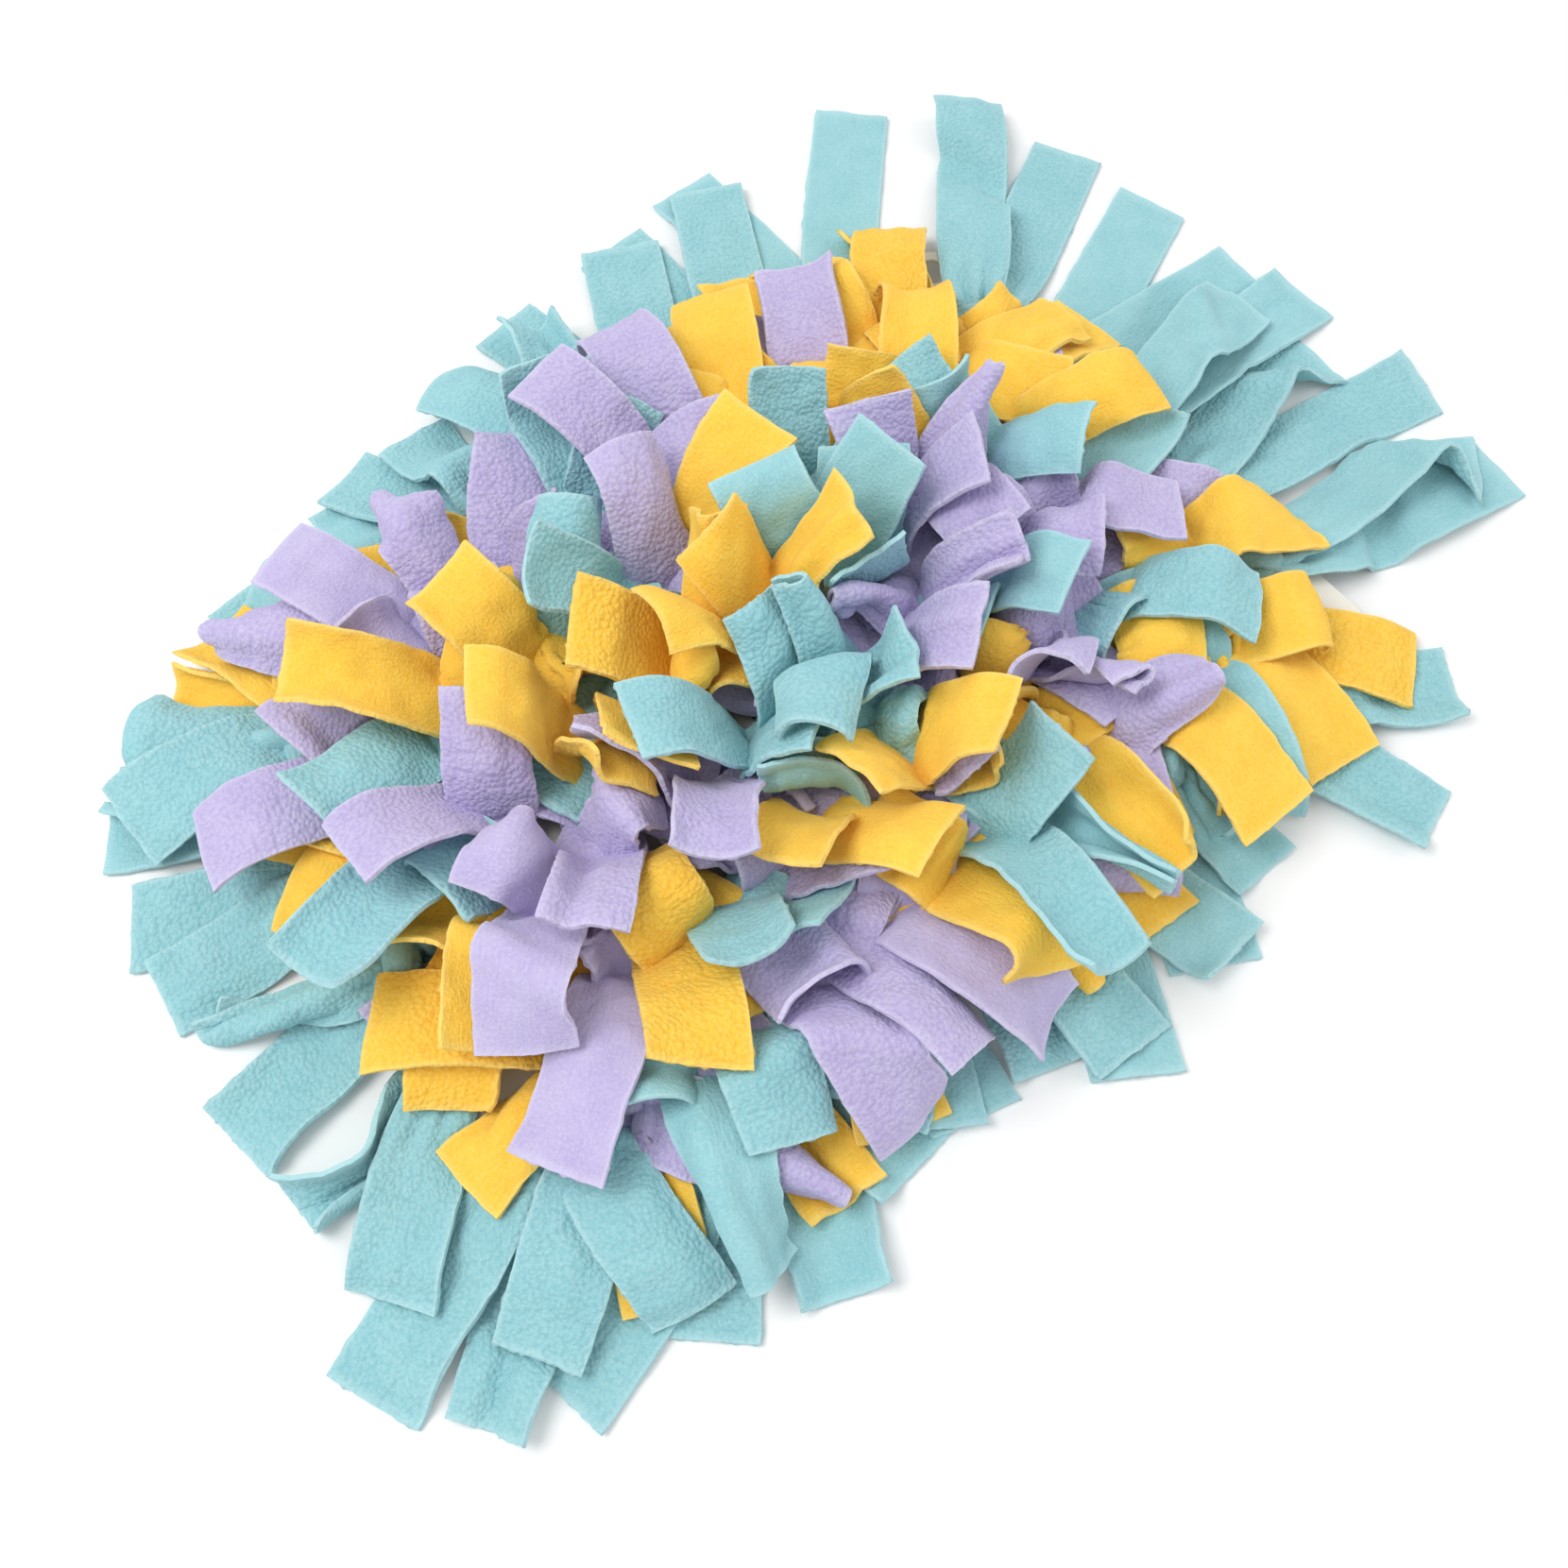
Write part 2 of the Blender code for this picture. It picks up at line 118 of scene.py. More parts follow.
# How many strips lie along a row, and the least and greatest length of the inner rings' tails
STRIP_COLUMNS = 9
SEED = 7
INNER_LENGTHS = ((56 * MM, 76 * MM), (48 * MM, 64 * MM), (42 * MM, 57 * MM), (52 * MM, 70 * MM))
LIFT_SPREAD = 0.15
DROOP_SPREAD = 0.2
YELLOW_SHARE = 0.8

# How a tail arches, for each ring from the outside in and then for the short strips: its angle
# up from the knot and down at its tip, how soon it turns down, and the most that it rolls, bends
# and turns aside, in radians.
ARCHES = (
    {"lift": 0.15, "droop": 0.7, "hurry": 0.6, "roll": 0.0, "bend": 0.25, "turn": 0.2},
    {"lift": 0.45, "droop": 1.0, "hurry": 1.0, "roll": 0.3, "bend": 0.6, "turn": 0.7},
    {"lift": 0.55, "droop": 1.1, "hurry": 1.0, "roll": 0.4, "bend": 0.7, "turn": 1.2},
    {"lift": 1.4, "droop": 0.6, "hurry": 1.5, "roll": 0.5, "bend": 0.8, "turn": 1.3},
    {"lift": 1.0, "droop": 1.0, "hurry": 1.1, "roll": 0.4, "bend": 0.5, "turn": 0.45},
)

AQUA = "fleece_aqua"
YELLOW = "fleece_yellow"
LAVENDER = "fleece_lavender"
MIDDLE_MIX = {LAVENDER: 0.76, AQUA: 0.14, YELLOW: 0.1}

# Each fleece's colour, then a darker colour for its random clouds and for the painted shade in its
# pits, then a paler colour for the painted sheen on its fuzz and cut edges, also its sheen's tint
FLEECE = {
    AQUA: ((0.31, 0.58, 0.62, 1.0), (0.19, 0.46, 0.52, 1.0), (0.50, 0.74, 0.77, 1.0)),
    YELLOW: ((0.95, 0.60, 0.075, 1.0), (0.88, 0.43, 0.02, 1.0), (1.0, 0.74, 0.24, 1.0)),
    LAVENDER: ((0.52, 0.47, 0.70, 1.0), (0.38, 0.31, 0.60, 1.0), (0.70, 0.66, 0.83, 1.0)),
}

# The fleece's texture: the size of each of its features in mm, and their heights
WOBBLE_SIZE = 2.2
WOBBLE = (0.0015, 0.0015, 0.0)
NUB_SIZE = 1.6
NUB_SMOOTHNESS = 0.28
NUB_HEIGHT = 0.8
LUMP_SIZE = 3.4
LUMP_HEIGHT = 0.25
RIB_SIZE = 1.1
RIB_STRETCH = (1.0, 0.3, 1.0)
RIB_HEIGHT = 0.6
FUZZ_SIZE = 0.9
FUZZ_HEIGHT = 0.55
CLOUD_SIZE = 14
NAP_DEPTH = 0.7 * MM
NAP_STRENGTH = 0.9

# How the fleece's colour follows its texture: the values between which each feature comes in,
# and how much it then turns the colour to the darker or the paler one. The clouds are random
# mottle. The darkening in the pits of the ribs and nubs is painted shade, and the lightening of
# the fuzz and the cut edges is painted sheen.
CLOUDS, CLOUD_SHARE = (0.3, 0.7), 0.35
RIB_PIT_SHADE, RIB_PIT_SHADE_SHARE = (0.6, 0.35), 0.3
NUB_PIT_SHADE, NUB_PIT_SHADE_SHARE = (0.25, 0.6), 0.65
PIT_SHADE_SHARE = 0.6
FUZZ_SHEEN, FUZZ_SHEEN_SHARE = (0.42, 0.72), 0.3
EDGE_SHEEN_SHARE = 0.5

# The base's mottled colour, and its grain
BASE_COLOURS = ((0.80, 0.77, 0.68, 1.0), (0.86, 0.84, 0.77, 1.0))
MOTTLE_SCALE = 30.0
GRAIN_SCALE = 900.0
GRAIN_DEPTH = 0.15 * MM
GRAIN_STRENGTH = 0.25
GRAIN_ROUGHNESS = (0.28, 0.48)

# How often a strip shows its brushed face upward
SMOOTH_UP = {AQUA: 0.35, YELLOW: 0.88, LAVENDER: 0.18}

# The short strips that fill the middle, each through two holes of neighbouring rows: how many
# there are, how far out their knots may be, and their rows of ARCHES and INNER_LENGTHS. Beyond
# EDGE_FILL the first tail has the second of these. Cloth nearer its knot than FILL_ROOT may
# touch other cloth.
FILL_STRIPS = 80
FILL_HALF = (118 * MM, 80 * MM)
FILL_RING = 3
EDGE_RING = 4
EDGE_FILL = 0.33
FILL_ROOT = 13 * MM
FILL_TRIES = 16
FILL_FINER = 3
SPOT_REACHES = (0, 4 * MM, 8 * MM)
SPOT_SIDES = 16

# Strips that close the pile at a corner: knot, then each end's heading in degrees and length in mm
CORNER_FILL = (
    ((-123.75 * MM, -75 * MM), (-142, 60), (-100, 54)),
    ((-123.75 * MM, 75 * MM), (140, 56), (175, 58)),
)

# The corner where the base shows, and how near it no strip is added
BARE_CORNER = (135 * MM, -90 * MM)
BARE_REACH = 30 * MM

# The colours of the short strips: in the middle, outside FILL_INNER and beyond FILL_END in x.
# A colour's share is multiplied by ALIKE for each of its tails that ends within NEIGHBOUR.
FILL_INNER = 0.24
FILL_END = 78 * MM
FILL_MIX = {LAVENDER: 0.48, AQUA: 0.28, YELLOW: 0.24}
FILL_OUTER_MIX = {LAVENDER: 0.49, AQUA: 0.19, YELLOW: 0.32}
FILL_END_MIX = {LAVENDER: 0.16, AQUA: 0.14, YELLOW: 0.7}
NEIGHBOUR = 32 * MM
ALIKE = 0.45

# The photograph's view. The sensor is in mm and the focal length a share of it, the angles are
# in degrees and the rest in metres.
SENSOR = 36
CAMERA_FOCAL = 1650 / 1660
CAMERA_TURN = 40
CAMERA_RISE = 65
CAMERA_AWAY = 0.45
CAMERA_AIM = (-0.0180, -0.0216)

# The floor, the surround, and each lamp's place, size in metres and power in watts
FLOOR_HALF = 4
FLOOR_COLOUR = (0.9, 0.9, 0.9, 1.0)
FLOOR_ROUGHNESS = 0.9
WORLD_COLOUR = (1.0, 1.0, 1.0, 1.0)
WORLD_STRENGTH = 0.75
LAMPS = {"key": ((-0.55, 0.35, 1.1), 0.7, 9), "fill": ((0.9, -0.7, 0.8), 0.9, 3)}
LAMP_AIM = 0.02

# The outermost strips: the place of the knot as (column, row) from the middle, then for each
# tail its heading in degrees from +X and its length in mm.
RING = (
    # column, row, heading_a, length_a, heading_b, length_b
    (4, 2, 22, 98, 49, 114),
    (4, 1, 18, 102, 1, 96),
    (4, 0, -2, 107, 14, 98),
    (4, -1, -7, 107, 10, 96),
    (4, -2, -16, 105, -3, 98),
    (3, -3, -31, 69, -77, 66),
    (2, -3, -116, 62, -88, 44),
    (1, -3, -117, 71, -80, 57),
    (0, -3, -117, 49, -84, 64),
    (-1, -3, -96, 44, -124, 44),
    (-2, -3, -118, 65, -90, 42),
    (-3, -3, -126, 52, -152, 76),
    (-4, -2, -131, 73, -163, 77),
    (-4, -1, -173, 64, -148, 72),
    (-4, 0, -174, 65, 158, 65),
    (-4, 1, 151, 64, 179, 62),
    (-4, 2, 153, 58, 126, 52),
    (-3, 3, 168, 62, 99, 50),
    (-2, 3, 134, 58, 88, 68),
    (-1, 3, 115, 75, 79, 78),
    (0, 3, 104, 79, 76, 84),
    (1, 3, 99, 82, 70, 88),
    (2, 3, 94, 85, 68, 92),
    (3, 3, 92, 90, 52, 108),
)

# The fine cloth of a tail: rows along it and columns across it
ROWS = 27
COLUMNS = 13
SPACING = TAIL_WIDTH / (COLUMNS - 1)
PLEATS = np.array([-1, 0, 1, 0, -1, 0, 1, 0, -1, 0, 1, 0, -1]) / 2
FLANK = 2 * SPACING
PINNED_ROWS = 2
SHOWN_FLARE = 18 * MM
FILL_FLARE = 9 * MM
FILL_ROOT_WIDTH = 20 * MM
PLEAT_FADE = 9 * MM
PLEAT_DEPTH = 4 * MM

# How the cloth of a tail wants to bend, as curvatures in 1/m: cupped across, curled at its tip,
# and for some tails creased lengthwise or hooked over. The long tails are calmer.
CUP = 42
CUP_CHANGE = 30
TIP_CURL = 38
TIP_START = 0.45
TIP_SPAN = 0.5
CREASED = 0.24
CREASE = (150, 340)
HOOKED = 0.26
HOOK = (110, 240)
HOOK_REACH = 5 * MM
CALM_LENGTH = 80 * MM
CALM_SHARE = 0.35
CUP_WAVES = (0.8, 1.6)
CUP_ONSET = 1.6
CREASE_SIDE = 0.4
CREASE_WIDTH = 0.22
ARCH = (0.9, 1.5)
SKEW = 0.9
HOOK_PLACE = (0.45, 0.75)
HOOK_SKEW = 0.15

# The relaxation of all the cloth together
STEPS = 60
ROUNDS = 3
GRAVITY = 0.10 * MM
KEPT_SPEED = 0.5
CONTACT = 2.9 * MM
LAYER_GAP = 2.5 * MM
LAYER_SPREAD = 3.0 * MM
LEAST_LEVEL = 0.3
REACH = 6.5 * MM
PAIR_STEPS = 4
MOST_PUSH = 0.8 * MM
HALF_THICKNESS = TAIL_THICKNESS / 2
# How many points apart the cloth's bending is corrected, and how strongly
BENDING = ((1, 0.5), (3, 0.35))
SLANT_HOLD = 0.4
FOLD_STEPS = 3
MOST_SHARE = 1.6
EDGE_DEPTH = 4 * MM
LEAST_FAR = 0.05

# The shown cloth: the fine points drawn finer, with two faces and a rounded cut edge
SHOWN_ROWS = 27
SHOWN_COLUMNS = 21
SHOWN_HALF = 0.8 * MM
SLANT = 1.4 * MM
MOST_SLANT = 3.5 * MM
UNEVEN = 0.035
CRUMPLE = 0.3 * MM
CRUMPLE_WAVES = 6
CRUMPLE_LENGTH = (7 * MM, 17 * MM)
EDGE_BULGE = 0.15 * MM
RAGGED = 0.22 * MM
EDGE_THINNER = 0.78
# How far in from the cut edges the painted sheen fades
EDGE_SHEEN_FADE = 0.6 * MM
UV_SCALE = 10

# A strip's gathered run through the knot and under the base
RUN_POINTS = 36
RUN_SIDES = 12
RUN_LOBES = 5
LOBE_DEPTH = 0.16
LOBE_TWIST = 4.4
FRAME_HOLD = 0.2
STRAND_STOPS = 7
STRAND_REACH = 7.5 * MM
STRAND_LENGTH = 13 * MM
STRAND_PHASE = 0.6
STRAND_TURN = 0.8 * math.tau
TWIST = 4 * MM
TWIST_RISE = 0.62
STRAND_LIFT = 0.3 * MM
LEG_TOP = 2 * MM
BAR_ROUND = 2.5 * MM

# The half sizes of the run (side, up) under the base and where it has risen above it
RUN_LOW = np.array((4.2 * MM, 1.62 * MM))
RUN_HIGH = np.array((3.8 * MM, 3.52 * MM))
RUN_RISE = 5 * MM
TAPER_POINTS = 3
TAPER_LEAST = 0.3


class Pile:
    """The top of everything laid so far, as one height for each cell of a square grid."""

    def __init__(self):
        self.size = tuple(int(2 * half / CELL) + 1 for half in PILE_HALF)
        self.top = np.full(self.size, -CLEARANCE)
        self.wide = self.top.copy()

    def cells(self, points):
        """The grid indices of each point, as two arrays."""
        column = np.clip(((points[:, 0] + PILE_HALF[0]) / CELL).astype(int), 1, self.size[0] - 2)
        row = np.clip(((points[:, 1] + PILE_HALF[1]) / CELL).astype(int), 1, self.size[1] - 2)
        return column, row

    def add(self, points):
        """Raises the pile to these points of a piece's upper side."""
        np.maximum.at(self.top, self.cells(points), points[:, 2])
        rows = np.maximum.reduce([np.roll(self.top, shift, 0) for shift in (-1, 0, 1)])
        self.wide = np.maximum.reduce([np.roll(rows, shift, 1) for shift in (-1, 0, 1)])

    def mark(self):
        """Remembers the pile as it is before a strip is laid."""
        self.marked = self.wide.copy()

    def under(self, points, knot):
        """The highest that the pile stands in the cells at and around each point.

        At a strip's own knot its other tail doesn't count, because both grow out of the knot.
        """
        cells = self.cells(points)
        away = np.hypot(points[:, 0] - knot[0], points[:, 1] - knot[1])
        return np.where(away < OWN_REACH, self.marked[cells], self.wide[cells])


class Tail:
    """One loose end of a strip: stations along its middle, each with a height and a roll."""

    def __init__(self, knot, heading, length, bend, lift, droop, hurry, roll):
        self.knot = knot
        self.step = length / TAIL_SEGMENTS
        self.along = self.step * np.arange(TAIL_SEGMENTS + 1)
        share = self.along / length
        self.headings = heading + bend * share
        self.roll = roll * share
        opened = self.along / FLARE_LENGTH
        self.widths = ROOT_WIDTH + (TAIL_WIDTH - ROOT_WIDTH) * smooth_share(opened)
        self.thick = ROOT_THICKNESS + (TAIL_THICKNESS - ROOT_THICKNESS) * np.clip(opened, 0, 1)
        climb = lift - (lift + droop) * ((share[:-1] + share[1:]) / 2) ** hurry
        rises = self.step * np.sin(climb)
        self.height = KNOT_MIDDLE - ROOT_THICKNESS / 2 + np.concatenate(([0.0], np.cumsum(rises)))
        self.height = np.maximum(self.height, 0.0)
        self.place()

    def place(self):
        """Works out where the stations lie in plan, so that each step keeps its length."""
        rises = np.diff(self.height)
        flat = np.sqrt(np.maximum(self.step**2 - rises**2, (LEAST_PLAN_SHARE * self.step) ** 2))
        middle = (self.headings[:-1] + self.headings[1:]) / 2
        x = np.concatenate(([0.0], np.cumsum(flat * np.cos(middle)))) + self.knot[0]
        y = np.concatenate(([0.0], np.cumsum(flat * np.sin(middle)))) + self.knot[1]
        self.middle = np.stack((x, y, self.height), axis=1)
        side = np.stack(
            (
                -np.sin(self.headings) * np.cos(self.roll),
                np.cos(self.headings) * np.cos(self.roll),
                np.sin(self.roll),
            ),
            axis=1,
        )
        half = side * self.widths[:, None] / 2
        self.left = self.middle + half
        self.right = self.middle - half
        forward = np.gradient(self.middle, axis=0)
        normal = np.cross(forward, side)
        normal /= np.linalg.norm(normal, axis=1, keepdims=True)
        self.upward = normal * self.thick[:, None]

    def surface(self, first, last, top, count=SAMPLES):
        """Points of the lower or upper side between two stations, on its two triangles a step."""
        found = []
        shift = self.upward if top else 0 * self.upward
        across, onward = np.meshgrid(np.linspace(0, 1, count), np.linspace(0, 1, count))
        across, onward = across.reshape(-1, 1), onward.reshape(-1, 1)
        for i in range(first, last):
            l0, l1 = self.left[i] + shift[i], self.left[i + 1] + shift[i + 1]
            r0, r1 = self.right[i] + shift[i], self.right[i + 1] + shift[i + 1]
            near = l0 + across * (r0 - l0) + onward * (r1 - r0)
            far = l0 + onward * (l1 - l0) + across * (r1 - l1)
            found.append(np.where(across >= onward, near, far))
        return found

    def settle(self, pile):
        """Raises the stations until the lower side is clear of the pile."""
        while self.height.max() < TALLEST:
            lifts = np.zeros(len(self.height))
            for i, points in enumerate(self.surface(0, TAIL_SEGMENTS, False)):
                short = pile.under(points, self.knot) + CLEARANCE - points[:, 2]
                lifts[i : i + 2] = np.maximum(lifts[i : i + 2], short.max())
            if lifts.max() < SETTLED:
                return True
            self.height[1:] += SETTLE_SHARE * lifts[1:] + SETTLED * (lifts[1:] > 0)
            self.ease()
            self.place()
        return False

    def ease(self):
        """Raises what stands beside a raised station: no step is too steep and no dip too sharp."""
        most = STEEPEST * self.step
        for _ in range(EASE_ROUNDS):
            for i in range(len(self.height) - 2, 0, -1):
                level = (self.height[i - 1] + self.height[i + 1]) / 2 - SHARPEST_DIP
                self.height[i] = max(self.height[i], self.height[i + 1] - most, level)
            for i in range(1, len(self.height)):
                self.height[i] = max(self.height[i], self.height[i - 1] - most)


def knot_place(column, row):
    """The plan position of the knot at this column and row from the middle."""
    return (column * 2 * HOLE_PITCH, row * ROW_PITCH)


def ring_of(column, row):
    """0 for the outermost strips, 1 for those inside them, 2 for the middle."""
    return min(2, min(STRIP_COLUMNS // 2 - abs(column), HOLE_ROWS // 2 - abs(row)))


def is_corner(column, row):
    """The four corner holes stay empty."""
    return abs(column) == STRIP_COLUMNS // 2 and abs(row) == HOLE_ROWS // 2


def crowding(tail, waiting):
    """How far a tail comes into the room that the knots still to be laid need above them."""
    if not waiting:
        return 0.0
    points = np.concatenate(tail.surface(0, TAIL_SEGMENTS, False, FEW_SAMPLES))[:, None, :2]
    nearest = np.linalg.norm(points - np.array(waiting)[None], axis=2).min()
    return max(0.0, KNOT_BERTH - float(nearest))


def outward(knot):
    """The heading from the middle of the mat, in the proportions of the base."""
    return math.atan2(knot[1] / BASE_WIDTH, knot[0] / BASE_LENGTH)


def from_middle(knot):
    """How far a knot is from the last one laid, in the proportions of the base."""
    return math.hypot((knot[0] - LAST_KNOT[0]) / BASE_LENGTH, (knot[1] - LAST_KNOT[1]) / BASE_WIDTH)


def lay_order(spots):
    """The outer rings first, and in each ring the knots furthest from the last one laid."""

    def rank(spot):
        return (ring_of(*spot), -from_middle(knot_place(*spot)))

    return sorted(spots, key=rank)


def lay_strips():
    """Lays every strip's two tails, the outermost strips first. Returns {(column, row): tails}."""
    draw = random.Random(SEED)
    columns = range(-(STRIP_COLUMNS // 2), STRIP_COLUMNS // 2 + 1)
    rows = range(-(HOLE_ROWS // 2), HOLE_ROWS // 2 + 1)
    spots = [(c, r) for c in columns for r in rows if not is_corner(c, r)]
    ring = {row[:2]: row[2:] for row in RING}
    pile = Pile()
    lay_base(pile)
    laid, waiting = {}, [knot_place(*spot) for spot in spots]
    for spot in lay_order(spots):
        knot = knot_place(*spot)
        waiting.remove(knot)
        pile.mark()
        first, length, second, other = ring.get(spot, (None,) * 4)
        tail = lay_tail(draw, pile, knot, waiting, ring_of(*spot), first, length)
        mate = lay_tail(draw, pile, knot, waiting, ring_of(*spot), second, other, tail.headings[0])
        lay_knot(pile, knot)
        for one in (tail, mate):
            pile.add(one.surface(0, 1, True, DENSE)[0])
        laid[spot] = (tail, mate)
    return laid


def try_tail(draw, knot, ring, attempt, heading, length):
    """A tail with the arch of its ring, and of a heading and length that are given or drawn."""
    arch = ARCHES[ring]
    if heading is None:
        turn = outward(knot) + draw.gauss(0, arch["turn"])
        reach = draw.uniform(*INNER_LENGTHS[ring - 1])
    else:
        spread = arch["turn"] * min(1.0, attempt / WIDENING_TRIES)
        turn = math.radians(heading) + spread * draw.uniform(-1, 1)
        reach = length * MM
    return Tail(
        knot,
        turn,
        reach,
        arch["bend"] * draw.uniform(-1, 1),
        arch["lift"] + draw.uniform(-LIFT_SPREAD, LIFT_SPREAD),
        arch["droop"] + draw.uniform(-DROOP_SPREAD, DROOP_SPREAD),
        arch["hurry"],
        arch["roll"] * draw.uniform(-1, 1),
    )


def lay_tail(draw, pile, knot, waiting, ring, heading=None, length=None, mate=None, tries=TRIES):
    """Lays one tail on the pile: the lowest of a few tries, or the first clear one if given."""
    best, found = None, None
    for attempt in range(tries):
        tail = try_tail(draw, knot, ring, attempt, heading, length)
        if heading is None and mate is not None:
            if math.cos(tail.headings[0] - mate) > math.cos(LEAST_SPLIT):
                continue
        clear = tail.settle(pile)
        crowded = crowding(tail, waiting)
        clear = clear and crowded < MOST_CROWDED
        cost = tail.height.max() + MEAN_COST * tail.height.mean() + CROWDING_COST * crowded
        cost += 0 if clear else UNCLEAR_COST
        if best is None or cost < best:
            best, found = cost, tail
        if heading is not None and clear:
            break
    if best > UNCLEAR_COST:
        print(f"the tail at {knot} isn't clear of the pile")
    for points in found.surface(1, TAIL_SEGMENTS, True, DENSE):
        pile.add(points)
    return found


def fill_spots(pile):
    """The lowest places of the pile between the rows of holes, from the outside in."""
    columns = (np.arange(HOLE_COLUMNS) - (HOLE_COLUMNS - 1) / 2) * HOLE_PITCH
    rows = (np.arange(HOLE_ROWS - 1) - (HOLE_ROWS - 2) / 2) * ROW_PITCH
    places = [(x, y) for x in columns for y in rows]
    places = [(x, y) for x, y in places if abs(x) < FILL_HALF[0] and abs(y) < FILL_HALF[1]]
    places = [place for place in places if math.dist(place, BARE_CORNER) > BARE_REACH]
    around = np.linspace(0, math.tau, SPOT_SIDES, endpoint=False)

    def height(place):
        reach = np.array(SPOT_REACHES)[:, None]
        x = (place[0] + reach * np.cos(around)).ravel()
        y = (place[1] + reach * np.sin(around)).ravel()
        return pile.top[pile.cells(np.stack((x, y), axis=1))].mean()

    lowest = sorted(places, key=height)[:FILL_STRIPS]
    return sorted(lowest, key=from_middle, reverse=True)


def lay_fill(draw, cloth):
    """Lays the short strips of the middle on the relaxed cloth of the others."""
    pile = Pile()
    lay_base(pile)
    for knot in cloth.all_knots:
        lay_knot(pile, knot)
    pile.mark()
    rows, columns = (spline_weights(count, FILL_FINER * count) for count in (ROWS, COLUMNS))
    for points in cloth.points:
        middle = np.einsum("ra,abk,cb->rck", rows, points, columns)
        top = middle + normals(middle[None])[0] * HALF_THICKNESS
        pile.add(top.reshape(-1, 3))
    laid = []
    for knot, *ends in CORNER_FILL:
        laid.append([lay_tail(draw, pile, knot, (), 0, *end, tries=FILL_TRIES) for end in ends])
    for knot in fill_spots(pile):
        ring = EDGE_RING if from_middle(knot) > EDGE_FILL else FILL_RING
        tail = lay_tail(draw, pile, knot, (), ring, tries=FILL_TRIES)
        mate = lay_tail(draw, pile, knot, (), FILL_RING, mate=tail.headings[0], tries=FILL_TRIES)
        for one in (tail, mate):
            pile.add(one.surface(0, 1, True, DENSE)[0])
        laid.append((tail, mate))
    return laid


def lay_base(pile):
    """Puts the base on the pile, with the room that cloth keeps from its edges."""
    reaches = [side / 2 + EDGE_CLEARANCE for side in (BASE_LENGTH, BASE_WIDTH)]
    lines = [np.arange(-reach, reach + CELL / 2, CELL / 2) for reach in reaches]
    x, y = (grid.ravel() for grid in np.meshgrid(*lines))
    pile.add(np.stack((x, y, np.full(len(x), BASE_TOP + EDGE_CLEARANCE - CLEARANCE)), axis=1))


def lay_knot(pile, knot):
    """Puts the upper half of a knot on the pile."""
    around = np.linspace(0, math.tau, KNOT_SAMPLES[0])
    up = np.linspace(0, math.pi / 2, KNOT_SAMPLES[1])
    around, up = np.meshgrid(around, up)
    around, up = around.ravel(), up.ravel()
    x = knot[0] + KNOT_SIZE[0] / 2 * np.cos(up) * np.cos(around)
    y = knot[1] + KNOT_SIZE[1] / 2 * np.cos(up) * np.sin(around)
    pile.add(np.stack((x, y, KNOT_MIDDLE + KNOT_SIZE[2] / 2 * np.sin(up)), axis=1))


